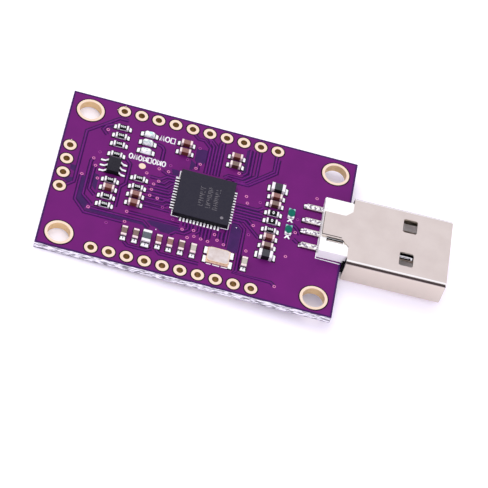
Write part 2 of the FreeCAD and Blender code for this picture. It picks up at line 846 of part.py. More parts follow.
def make_plug_body(contacts):
    """The plastic body: blade, rear wall, and two jaws that hold the board's edge."""
    body = new_body("plug_plastic")
    fit = "body_clearance"
    back = "-body_block_reach"
    floor = "-" + INNER_HEIGHT + " + " + fit
    block_top = BOARD_LEVEL + " + body_block_height"
    under_board = BOARD_LEVEL + " - board_thickness"
    side = new_sketch(body, "plug_plastic_jaws", "XZ_Plane")
    draw_polygon(side, [
        (back, floor), ("plug_setback", floor), ("plug_setback", block_top),
        (back, block_top), (back, BOARD_LEVEL), ("body_edge_gap", BOARD_LEVEL),
        ("body_edge_gap", under_board), (back, under_board),
    ])
    pad(body, "jaws", side, "2 * " + HALF_BLOCK, both_ways=True)
    half_room = "shell_width / 2 - shell_sheet - " + fit
    rear_wall = "plug_reach - cavity_depth"
    wall = new_sketch(body, "plug_plastic_wall", "YZ_Plane", "plug_setback")
    draw_polygon(wall, rectangle(half_room, INNER_HEIGHT + " - " + fit))
    solid = pad(body, "rear_wall", wall, rear_wall + " - plug_setback")
    level = size("shell_height") / 2 - size("shell_sheet") - size("body_clearance")
    side_wall = size("shell_width") / 2 - size("body_block_step")

    def wall_corner(edge):
        box = edge.BoundBox
        at_side = max(abs(box.YMin), abs(box.YMax)) > side_wall + NEAR
        return runs_along(edge, 0) and at_side and abs(abs(box.ZMin) - level) < NEAR

    corners = edges_where(solid.Shape, wall_corner)
    round_edges(body, "wall_corners", solid, corners, "shell_edge - shell_sheet")
    blade = new_sketch(body, "plug_plastic_blade", "XY_Plane", floor)
    inner_flat = "shell_width / 2 - shell_edge - " + fit
    far_end = "plug_reach - blade_recess"
    draw_polygon(blade, [
        (rear_wall + " - shell_sheet", "-(" + inner_flat + ")"),
        (far_end, "-(" + inner_flat + ")"),
        (far_end, inner_flat), (rear_wall + " - shell_sheet", inner_flat),
    ])
    pad(body, "blade", blade, "blade_thickness - " + fit)
    # The shell's tongue lies in a shallow channel, with a deeper groove along each side of it.
    channel = new_sketch(body, "tongue_channel_outline", "XY_Plane", block_top)
    lane = "(tongue_width / 2 + groove_width)"
    mouth = "(tongue_width / 2 + tongue_flare + body_clearance)"
    turn = "plug_setback - (" + mouth + " - " + lane + ")"
    draw_polygon(channel, [
        (back, "-" + lane), (turn, "-" + lane), ("plug_setback", "-" + mouth),
        ("plug_setback", mouth), (turn, lane), (back, lane),
    ])
    pocket_down(body, "tongue_channel", channel, block_top + " - " + INNER_HEIGHT)
    grooves = new_sketch(body, "groove_outline", "XY_Plane", INNER_HEIGHT)
    for hand in ("-", ""):
        draw_polygon(grooves, rectangle(
            "groove_length / 2", "groove_width / 2",
            back + " + groove_start + groove_length / 2",
            "%s(tongue_width + groove_width) / 2" % hand,
        ))
    pocket_down(body, "tongue_grooves", grooves, "groove_depth")
    place_plug_part(body)
    strips = doc.addObject("Part::Compound", "contact_strips")
    strips.Links = contacts
    cut = doc.addObject("Part::Cut", "usb_body")
    cut.Base = body
    cut.Tool = strips
    return keep(cut, "usb_body")


def make_contact_solder(contacts):
    """The land and the solder under and around each contact's tail."""
    land = size("land_thickness")
    half = size("contact_land_width") / 2
    strip = size("contact_width") / 2
    reach = size("contact_land_reach")
    tail = size("contact_tail")
    inner = size("body_block_reach")
    climb = size("contact_solder_climb")
    solids = []
    for contact in contacts:
        joint = Part.makeBox(reach - inner, 2 * half, land, FreeCAD.Vector(-reach, -half, 0))
        toe = [(-reach, 0), (-tail, 0), (-tail, climb), (-reach, land)]
        points = [FreeCAD.Vector(x, -half, z) for x, z in toe]
        face = Part.Face(Part.makePolygon(points + points[:1]))
        joint = joint.fuse(face.extrude(FreeCAD.Vector(0, 2 * half, 0)))
        for hand in (-1, 1):
            rib = [(hand * half, 0), (hand * half, land), (hand * strip, climb), (hand * strip, 0)]
            points = [FreeCAD.Vector(-tail, y, z) for y, z in rib]
            face = Part.Face(Part.makePolygon(points + points[:1]))
            joint = joint.fuse(face.extrude(FreeCAD.Vector(tail - inner, 0, 0)))
        joint = joint.removeSplitter()
        spot = contact.Placement.copy()
        spot.Base.z = size("shell_height") - size("shell_above_board")
        joint.transformShape(spot.toMatrix(), True)
        solids += joint.Solids
    solder = doc.addObject("Part::Feature", "contact_solder")
    solder.Shape = Part.makeCompound(solids)
    return keep(solder, "contact_solder")


# Assembly

def make_small_parts():
    """Every small part at its place; returns the chips that are soldered at two ends."""
    chips = []
    for name, column, _ in COLUMN_PARTS:
        zone = ZONES[COLUMNS[column][0]]
        across = zone + " + " + column
        up = name + "_y"
        if name == "test_pad":
            make_test_pad(across, up)
        elif name == "six_lead_chip":
            make_six_lead_body(across, up)
            make_six_lead_leads(across, up)
        else:
            chips.append(seat_chip(name, across, up, chip_family(name) == "fuse"))
    for name, _ in ROW_PARTS:
        across = MIDDLE + " + " + name + "_x"
        if name == "crystal":
            make_crystal(across, NEAR_ROW)
        else:
            chips.append(seat_chip(name, across, NEAR_ROW, True))
    return chips


def make_plug():
    """The four contacts, the plastic body, the shell and the solder at the tails."""
    contacts = []
    spots = ("-contact_outer", "-contact_inner", "contact_inner", "contact_outer")
    for number, offset in enumerate(spots, start=1):
        setback = "contact_stagger" if offset.endswith("inner") else "0"
        contacts.append(make_contact("usb_contact_%d" % number, offset, setback))
    make_plug_body(contacts)
    make_shell()
    doc.recompute()
    make_contact_solder(contacts)


def main():
    make_board()
    make_mount_rings()
    chips = make_small_parts()
    make_controller()
    make_controller_lands()
    doc.recompute()
    make_chip_solder(chips)
    make_plug()
    doc.recompute()
    for thing in doc.Objects:
        if {"Invalid", "Error"} & set(thing.State):
            raise ValueError("%s failed: %s" % (thing.Label, thing.State))
    for thing in nodes:
        if thing.Shape.isNull() or not thing.Shape.isValid() or not thing.Shape.Solids:
            raise ValueError(thing.Label + " has no sound shape")
    os.makedirs("parts", exist_ok=True)
    for thing in nodes:
        thing.Shape.exportStep(os.path.join("parts", thing.Label + ".step"))
    print(len(nodes), "sub-parts written")


main()
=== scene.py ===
import logging
import math
import random
from contextlib import contextmanager
from dataclasses import dataclass, field
from enum import Enum
from typing import Callable, Iterator, Sequence

import bpy
from mathutils import Matrix, Vector, noise


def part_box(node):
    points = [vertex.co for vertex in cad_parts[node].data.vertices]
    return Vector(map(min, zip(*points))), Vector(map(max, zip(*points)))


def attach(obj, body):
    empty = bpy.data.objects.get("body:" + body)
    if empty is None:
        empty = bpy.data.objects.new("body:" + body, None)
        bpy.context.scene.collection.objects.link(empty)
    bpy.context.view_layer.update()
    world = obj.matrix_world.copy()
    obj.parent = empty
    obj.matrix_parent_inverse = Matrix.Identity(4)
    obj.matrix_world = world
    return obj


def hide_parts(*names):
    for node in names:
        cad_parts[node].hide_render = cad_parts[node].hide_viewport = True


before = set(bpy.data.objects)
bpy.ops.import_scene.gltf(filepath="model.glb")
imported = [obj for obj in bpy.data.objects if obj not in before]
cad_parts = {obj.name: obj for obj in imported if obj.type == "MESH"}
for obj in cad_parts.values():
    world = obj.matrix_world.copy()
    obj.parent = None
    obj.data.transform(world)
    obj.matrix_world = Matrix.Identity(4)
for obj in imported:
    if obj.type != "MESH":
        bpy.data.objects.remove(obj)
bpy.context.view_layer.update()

LOG = logging.getLogger("usb_serial_adapter")
MM = 0.001
Point = tuple[float, float]
Tint = tuple[int, int, int]
GRAIN_SPAN: Point = (0.3, 0.7)  # Soft grain mostly lies between these levels.
FACING = 0.5  # A face looks along an axis where its normal's part on it is over this.
WELD = 1e-7  # Points closer than this are one, in metres.


class Slot(Enum):
    """Names of the record's material slots, passed along with the new pieces."""

    BOARD = "board"
    GOLD = "gold"
    SOLDER = "solder"
    MOULDING = "chip_moulding"
    CAN = "can_metal"
    RESISTOR = "resistor_ceramic"
    CAPACITOR = "capacitor_ceramic"
    FERRITE = "ferrite_ceramic"
    FUSE = "fuse_coat"
    LENS = "lens"
    PLASTIC = "white_plastic"
    STEEL = "steel"


class Family(Enum):
    """The families of small chips, as the model's nodes name them."""

    RESISTOR = "resistor"
    CAPACITOR = "capacitor"
    FERRITE = "ferrite"
    FUSE = "fuse"
    LED = "led"

    def nodes(self) -> list[str]:
        """The model's nodes of this family, in the order of their numbers."""
        names = [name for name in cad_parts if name.rsplit("_", 1)[0] == self.value]
        return sorted(names, key=lambda name: int(name.rsplit("_", 1)[1]))


def linear(tint: Tint) -> tuple[float, float, float, float]:
    """Turn a screen colour into the linear colour that a shader takes.

    Args:
        tint: Red, green and blue from 0 to 255.

    Returns:
        The same colour in linear light, with full alpha.
    """
    parts = []
    for value in tint:
        share = value / 255
        parts.append(share / 12.92 if share <= 0.04045 else ((share + 0.055) / 1.055) ** 2.4)
    return parts[0], parts[1], parts[2], 1.0


class Recipe:
    """A material's nodes, laid out one after another round one main shader."""

    def __init__(self, name: str) -> None:
        """Start a material that reads the Object coordinates of its piece.

        Args:
            name: The material's name.
        """
        self.material = bpy.data.materials.new(name)
        self.material.use_nodes = True
        self.tree = self.material.node_tree
        self.shader = self.tree.nodes["Principled BSDF"]
        self.where = self.add("ShaderNodeTexCoord").outputs["Object"]

    def add(self, kind: str, **settings: object) -> bpy.types.Node:
        """Add a node and set its properties.

        Args:
            kind: The node's type, as Blender names it.
            settings: The properties to set.

        Returns:
            The new node.
        """
        node = self.tree.nodes.new(kind)
        for key, value in settings.items():
            setattr(node, key, value)
        return node

    def join(self, value: object, socket: bpy.types.NodeSocket) -> None:
        """Feed a socket with another node's output, or set it to a plain value.

        Args:
            value: The other node's output, or the plain value.
            socket: The socket to feed.
        """
        if isinstance(value, bpy.types.NodeSocket):
            self.tree.links.new(value, socket)
        else:
            socket.default_value = value

    def set(self, **values: object) -> None:
        """Set the main shader's sockets; an underscore stands for a space."""
        for key, value in values.items():
            self.join(value, self.shader.inputs[key.replace("_", " ")])

    def math(self, operation: str, first: object, second: object = 0.0) -> bpy.types.NodeSocket:
        """Work out one number from two.

        Args:
            operation: The sum to do, as Blender names it.
            first: The first number, plain or from a node.
            second: The second number.

        Returns:
            The result.
        """
        node = self.add("ShaderNodeMath", operation=operation)
        self.join(first, node.inputs[0])
        self.join(second, node.inputs[1])
        return node.outputs[0]

    def axis(self, letter: str) -> bpy.types.NodeSocket:
        """Read one Object coordinate.

        Args:
            letter: X, Y or Z.

        Returns:
            The coordinate, in metres.
        """
        node = self.add("ShaderNodeSeparateXYZ")
        self.join(self.where, node.inputs[0])
        return node.outputs[letter]

    def facing_up(self) -> bpy.types.NodeSocket:
        """Tell flat faces from edges.

        Returns:
            1 where the surface faces up or down, and 0 on its edges.
        """
        normal = self.add("ShaderNodeNewGeometry").outputs["True Normal"]
        node = self.add("ShaderNodeSeparateXYZ")
        self.join(normal, node.inputs[0])
        return self.math("GREATER_THAN", self.math("ABSOLUTE", node.outputs["Z"]), FACING)

    def grain(
        self, size_mm: float, detail: float = 3.0, stretch: Sequence[float] = (1, 1, 1)
    ) -> bpy.types.NodeSocket:
        """Soft random grain.

        Args:
            size_mm: Rough size of one grain, in millimetres.
            detail: How many finer layers are added.
            stretch: How much closer the grains lie along each axis.

        Returns:
            A number about 0.5 that varies over the surface.
        """
        mapping = self.add("ShaderNodeMapping")
        self.join(self.where, mapping.inputs["Vector"])
        mapping.inputs["Scale"].default_value = stretch
        node = self.add("ShaderNodeTexNoise")
        self.join(mapping.outputs[0], node.inputs["Vector"])
        node.inputs["Scale"].default_value = 1.0 / (size_mm * MM)
        node.inputs["Detail"].default_value = detail
        return node.outputs["Fac"]

    def ramp(
        self, value: object, low: float, high: float, first: object = 0.0, last: object = 1.0
    ) -> bpy.types.NodeSocket:
        """Map a span of one number to another span, and hold it at the ends.

        Args:
            value: The number to map.
            low: Start of its span.
            high: End of its span.
            first: Result at the start.
            last: Result at the end.

        Returns:
            The mapped number.
        """
        node = self.add("ShaderNodeMapRange")
        self.join(value, node.inputs["Value"])
        for key, number in (("From Min", low), ("From Max", high), ("To Min", first), ("To Max", last)):
            self.join(number, node.inputs[key])
        return node.outputs["Result"]

    def blend(self, share: object, first: object, second: object) -> bpy.types.NodeSocket:
        """Mix two colours; a plain one is given as a screen tint.

        Args:
            share: How much of the second colour is mixed in, from 0 to 1.
            first: The first colour.
            second: The second colour.

        Returns:
            The mixed colour.
        """
        node = self.add("ShaderNodeMix", data_type="RGBA")
        self.join(share, node.inputs["Factor"])
        for value, socket in ((first, node.inputs["A"]), (second, node.inputs["B"])):
            colour = [item for item in node.inputs if item.name == socket.name and item.type == "RGBA"][0]
            self.join(linear(value) if isinstance(value, tuple) else value, colour)
        return [item for item in node.outputs if item.type == "RGBA"][0]

    def bump(self, height: bpy.types.NodeSocket, depth_mm: float, strength: float = 1.0) -> None:
        """Roughen the surface by a height that runs from 0 to 1.

        Args:
            height: The height.
            depth_mm: Depth of the relief, in millimetres.
            strength: How much of it the shading takes.
        """
        node = self.add("ShaderNodeBump")
        node.inputs["Strength"].default_value = strength
        node.inputs["Distance"].default_value = depth_mm * MM
        self.join(height, node.inputs["Height"])
        self.join(node.outputs[0], self.shader.inputs["Normal"])


@dataclass(frozen=True)
class Finish:
    """A surface of two close tints in a soft grain, with fine relief.

    Attributes:
        name: The material's name.
        tint: Main colour.
        second: Colour that the grain mixes in.
        grain_mm: Size of the colour grain.
        metal: 1 for metal and 0 for anything else.
        rough: Roughness, varied a little by the grain.
        relief_mm: Height of the fine relief.
        relief_grain_mm: Size of the fine relief's grain.
        stretch: How much closer the relief lies along each axis.
        coat: Share of clear coat.
        shine: Level of the mirror-like part of a surface that isn't metal.
        side: Colour of the upright faces, where it differs.
        mix: Levels of the grain between which the second colour comes in.
    """

    name: str
    tint: Tint
    second: Tint
    grain_mm: float = 0.8
    metal: float = 0.0
    rough: float = 0.4
    relief_mm: float = 0.004
    relief_grain_mm: float = 0.12
    stretch: tuple[float, float, float] = (1.0, 1.0, 1.0)
    coat: float = 0.0
    shine: float = 0.25
    side: Tint | None = None
    mix: Point = GRAIN_SPAN

    def make(self) -> bpy.types.Material:
        """Make the finished material once, and reuse it after that.

        Returns:
            The material.
        """
        known = bpy.data.materials.get(self.name)
        if known:
            return known
        recipe = Recipe(self.name)
        self.dress(recipe)
        return recipe.material

    def dress(self, recipe: Recipe) -> None:
        """Lay out the nodes of the finish.

        Args:
            recipe: The material to fill.
        """
        mottle = recipe.ramp(recipe.grain(self.grain_mm), *self.mix)
        fine = recipe.grain(self.relief_grain_mm, 2.0, self.stretch)
        colour = recipe.blend(mottle, self.tint, self.second)
        # Upright faces take the side colour; on the chips' ceramics and the black ferrite this paints shade.
        if self.side:
            colour = recipe.blend(recipe.facing_up(), self.side, colour)
        recipe.set(
            Base_Color=colour,
            Roughness=recipe.ramp(fine, *GRAIN_SPAN, self.rough * 0.85, min(1.0, self.rough * 1.2)),
            Metallic=self.metal,
            Specular_IOR_Level=self.shine,
            Coat_Weight=self.coat,
            Coat_Roughness=0.15,
        )
        recipe.bump(fine, self.relief_mm)


@dataclass(frozen=True)
class SolderMask(Finish):
    """Purple mask on both faces of the board, and cut glass fibre on its edges.

    Attributes:
        rim: Colour of the band along the outline, where there is no copper.
        fibre: Pale colour of the cut edge.
        fibre_dark: Colour of the shaded fibres.
        edge_line_mm: Thickness of the mask seen at the edge.
        rim_mm: Width of the band along the outline.
        cloud_mm: Size of the soft clouds in the mask.
        strand_mm: Thickness of a strand of fibre.
        strand_span: Levels of the strands' grain between which the shaded ones begin.
        edge_rough: Roughness of the cut edge.
    """

    rim: Tint = (62, 24, 84)
    fibre: Tint = (236, 233, 240)
    fibre_dark: Tint = (118, 114, 122)
    edge_line_mm: float = 0.06
    rim_mm: float = 0.28
    cloud_mm: float = 3.5
    strand_mm: float = 0.24
    strand_span: Point = (0.46, 0.58)
    edge_rough: float = 0.85

    def dress(self, recipe: Recipe) -> None:
        """Lay out the mask, the rim band and the cut edge.

        Args:
            recipe: The material to fill.
        """
        low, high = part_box("circuit_board")
        middle = (low + high) / 2
        half = (high - low) / 2
        wide = recipe.ramp(recipe.grain(self.cloud_mm, 4.0), *GRAIN_SPAN)
        mask = recipe.blend(wide, self.tint, self.second)
        from_x = recipe.math("ABSOLUTE", recipe.math("SUBTRACT", recipe.axis("X"), middle.x))
        from_y = recipe.math("ABSOLUTE", recipe.math("SUBTRACT", recipe.axis("Y"), middle.y))
        beyond_x = recipe.math("GREATER_THAN", from_x, half.x - self.rim_mm * MM)
        beyond_y = recipe.math("GREATER_THAN", from_y, half.y - self.rim_mm * MM)
        mask = recipe.blend(recipe.math("MAXIMUM", beyond_x, beyond_y), mask, self.rim)
        strands = recipe.grain(self.strand_mm, 4.0, (0.25, 0.25, 1.6))
        edge = recipe.blend(recipe.ramp(strands, *self.strand_span), self.fibre, self.fibre_dark)
        from_z = recipe.math("ABSOLUTE", recipe.math("SUBTRACT", recipe.axis("Z"), middle.z))
        lined = recipe.math("GREATER_THAN", from_z, half.z - self.edge_line_mm * MM)
        edge = recipe.blend(lined, edge, self.rim)
        flat = recipe.facing_up()
        fine = recipe.grain(self.relief_grain_mm, 3.0)
        recipe.set(
            Base_Color=recipe.blend(flat, edge, mask),
            Roughness=recipe.ramp(flat, 0.0, 1.0, self.edge_rough, self.rough),
            Specular_IOR_Level=self.shine,
        )
        low_relief = recipe.math("MULTIPLY", fine, 0.25)
        deep_relief = recipe.math("MULTIPLY", strands, recipe.ramp(flat, 0.0, 1.0, 1.0, 0.0))
        recipe.bump(recipe.math("ADD", low_relief, deep_relief), self.relief_mm)


@dataclass(frozen=True)
class SheetSteel(Finish):
    """Plated sheet with a fine drawn grain, soft stains and a few scratches, with a painted highlight and a
    painted dark reflection along each upward fold and painted shade on its sides.

    Attributes:
        fold_highlight: Colour of the painted highlight where an upward fold starts to turn.
        dull: Colour of the painted dark reflection further round an upward fold.
        side_shade: Colour of the sides, a painted shade that is darker and warmer than the top.
        highlight_in: Turn towards the side, from 0 to 1, over which the painted highlight comes in.
        highlight_out: Turn over which it goes out, the far end first.
        dark_reflection_in: Turn over which the painted dark reflection comes in.
        dark_reflection_out: Turn over which it goes out, the far end first.
    """

    # Painted highlight along the start of each upward fold.
    fold_highlight: Tint = (255, 252, 250)
    # Painted dark reflection further round each upward fold.
    dull: Tint = (92, 80, 78)
    # Painted shade on the upright sides.
    side_shade: Tint = (213, 203, 190)
    highlight_in: Point = (0.12, 0.2)
    highlight_out: Point = (0.52, 0.44)
    dark_reflection_in: Point = (0.5, 0.6)
    dark_reflection_out: Point = (0.97, 0.9)

    def dress(self, recipe: Recipe) -> None:
        """Lay out the drawn grain, the scratches, the painted fold highlight and dark reflection, and the
        painted shade on the sides.

        Args:
            recipe: The material to fill.
        """
        mottle = recipe.ramp(recipe.grain(self.grain_mm, 4.0), 0.35, 0.7)
        drawn = recipe.grain(self.relief_grain_mm, 2.0, self.stretch)
        scratch = recipe.ramp(recipe.grain(0.5, 1.0, (0.12, 2.6, 1.0)), 0.68, 0.72)
        parts = recipe.add("ShaderNodeSeparateXYZ")
        recipe.join(recipe.add("ShaderNodeNewGeometry").outputs["True Normal"], parts.inputs[0])
        across = recipe.math("ABSOLUTE", parts.outputs["Y"])
        # Painted highlight and painted dark reflection: bands set by how far the fold's normal turns to the
        # side.
        fold_highlight = recipe.math("MINIMUM", recipe.ramp(across, *self.highlight_in), recipe.ramp(across, *self.highlight_out))
        dull = recipe.math("MINIMUM", recipe.ramp(across, *self.dark_reflection_in), recipe.ramp(across, *self.dark_reflection_out))
        above = recipe.ramp(parts.outputs["Z"], 0.1, 0.2)
        sheet = recipe.blend(mottle, self.tint, self.second)
        # Painted shade: faces that stand upright take the side colour.
        side = recipe.math("LESS_THAN", recipe.math("ABSOLUTE", parts.outputs["Z"]), 0.3)
        sheet = recipe.blend(side, sheet, self.side_shade)
        # Paint the fold highlight, then the dark reflection, onto upward faces only.
        sheet = recipe.blend(recipe.math("MULTIPLY", fold_highlight, above), sheet, self.fold_highlight)
        sheet = recipe.blend(recipe.math("MULTIPLY", dull, above), sheet, self.dull)
        recipe.set(
            Base_Color=sheet,
            Roughness=recipe.ramp(drawn, *GRAIN_SPAN, self.rough * 0.92, self.rough * 1.1),
            Metallic=1.0,
        )
        relief = recipe.math("SUBTRACT", drawn, recipe.math("MULTIPLY", scratch, 0.6))
        recipe.bump(relief, self.relief_mm, 0.6)


MASK = SolderMask(
    "purple_mask", (107, 25, 108), (99, 23, 102),
    rough=0.45, relief_mm=0.012, relief_grain_mm=0.5, shine=0.1,
)
BARE_MASK = Finish("mask_over_fibre", (66, 30, 88), (56, 28, 80), 0.6, rough=0.45, shine=0.1)
GAP_MASK = Finish("mask_in_gap", (71, 27, 93), (66, 26, 90), 0.4, rough=0.45, shine=0.1)
TRACK_MASK = Finish("mask_over_track", (111, 29, 120), (101, 25, 112), 0.5, rough=0.42, shine=0.12)
OPENING = Finish("mask_opening", (46, 20, 42), (36, 16, 34), 0.2, rough=0.6, shine=0.1)
INK = Finish("white_ink", (252, 252, 252), (236, 232, 240), 0.3, rough=0.6, relief_mm=0.006)
GOLD = Finish(
    "pale_gold", (253, 231, 210), (249, 222, 197),
    0.9, 0.75, 0.4, 0.006, 0.2, side=(226, 198, 152),
)
WALL_GOLD = Finish("plated_wall", (196, 158, 92), (164, 128, 68), 0.5, 0.85, 0.4, 0.01, 0.2, (1, 1, 0.4))
VIA_GOLD = Finish("via_under_mask", (222, 132, 182), (200, 106, 168), 0.3, rough=0.4)
# Painted shade: dark disc for the shadowed inside of a via's hole.
VIA_HOLE_SHADE = Finish("via_hole_shade", (70, 24, 74), (58, 20, 66), 0.2, rough=0.6, shine=0.1)
TENTED = Finish("tented_via", (154, 56, 142), (140, 46, 134), 0.3, rough=0.4)
SOLDER = Finish("bright_solder", (255, 255, 255), (244, 244, 247), 0.35, 0.3, 0.3, 0.03, 0.3)
# Painted shade: solder in the hollow against a chip's end, dark where shade falls.
MENISCUS = Finish("shaded_solder", (74, 60, 76), (54, 44, 58), 0.2, 0.6, 0.35)
TAIL_SOLDER = Finish(
    "rough_solder", (255, 255, 255), (124, 112, 128),
    0.34, 0.1, 0.35, 0.16, 0.35, mix=(0.46, 0.56),
)
TIN = Finish("tinned_end", (252, 250, 252), (232, 228, 232), 0.3, 0.45, 0.34, 0.02, 0.2)
MOULDING = Finish(
    "dark_moulding", (34, 32, 46), (41, 39, 50),
    0.25, rough=0.55, relief_mm=0.01, relief_grain_mm=0.07, shine=0.2, side=(16, 16, 22),
)
SMALL_MOULDING = Finish(
    "small_moulding", (22, 20, 30), (40, 38, 46),
    0.12, rough=0.55, relief_mm=0.01, relief_grain_mm=0.07, shine=0.2, side=(12, 12, 17),
)
MARK = Finish("laser_mark", (136, 132, 136), (66, 64, 72), 0.12, rough=0.7, shine=0.1)
DOT = Finish("round_mark", (128, 124, 130), (116, 112, 120), 0.15, rough=0.7, shine=0.1)
WARM_TIN = Finish("warm_tinned_end", (250, 232, 232), (236, 214, 214), 0.3, 0.45, 0.34, 0.02, 0.2)
BLACK_COAT = Finish("black_coat", (10, 12, 14), (18, 20, 22), 0.3, rough=0.5, shine=0.1)
GREY_MARK = Finish("grey_mark", (248, 250, 250), (226, 230, 230), 0.15, rough=0.6)
WHITE_CERAMIC = Finish("white_ceramic", (242, 242, 244), (226, 226, 230), 0.3, rough=0.5)
# Painted shade: the capacitor ceramics below are darker on their upright faces.
BROWN_CERAMIC = Finish(
    "brown_ceramic", (148, 108, 102), (128, 92, 88),
    0.25, rough=0.45, relief_mm=0.008, side=(92, 42, 36),
)
DULL_CERAMIC = Finish(
    "grey_brown_ceramic", (128, 106, 98), (112, 92, 88),
    0.25, rough=0.45, relief_mm=0.008, side=(66, 34, 30),
)
PALE_CERAMIC = Finish(
    "pale_ceramic", (190, 184, 172), (172, 168, 158),
    0.25, rough=0.45, relief_mm=0.008, side=(120, 108, 96),
)
# Painted shade: the black ferrite is darker on its upright faces.
BLACK_FERRITE = Finish(
    "black_ferrite", (66, 66, 72), (54, 54, 60),
    0.3, rough=0.4, relief_mm=0.01, side=(16, 16, 20),
)
GREY_FERRITE = Finish("grey_ferrite", (90, 98, 104), (78, 86, 92), 0.3, rough=0.4, relief_mm=0.01)
GREEN_COAT = Finish("green_coat", (0, 104, 88), (0, 86, 76), 0.4, rough=0.3, shine=0.15)
FUSE_BASE = Finish("fuse_base", (146, 196, 192), (126, 178, 176), 0.3, rough=0.45)
MILKY = Finish("milky_lens", (255, 255, 255), (180, 194, 196), 0.36, rough=0.25, coat=0.2, mix=(0.47, 0.6))
TEAL_CORE = Finish("teal_core", (170, 226, 214), (190, 236, 226), 0.3, rough=0.3, coat=0.3)
CAN_LID = Finish(
    "crystal_can", (232, 222, 220), (210, 194, 186),
    0.9, 0.75, 0.42, 0.01, 0.25, side=(236, 208, 176),
)
CAN_RIM = Finish("crystal_rim", (240, 220, 202), (226, 204, 182), 0.3, 0.6, 0.3)
CAN_BASE = Finish("crystal_tray", (240, 210, 182), (222, 188, 156), 0.3, rough=0.5)
WHITE_PLASTIC = Finish(
    "white_plastic", (252, 250, 252), (246, 243, 247),
    1.2, rough=0.42, relief_mm=0.01, relief_grain_mm=0.3,
)
# Painted shade: near-black finish for plates put where only shade falls.
SHADE = Finish("painted_recess_shade", (10, 9, 12), (16, 14, 18), 0.4, rough=0.8, shine=0.05)
CONTACT = Finish("plated_contact", (236, 230, 222), (222, 214, 204), 0.6, 1.0, 0.3, 0.006, 0.2, (0.3, 1, 1))
STEEL = SheetSteel(
    "plated_steel", (229, 217, 210), (222, 209, 202),
    2.6, 1.0, 0.3, 0.0004, 0.3, (0.2, 1.0, 1.0),
)


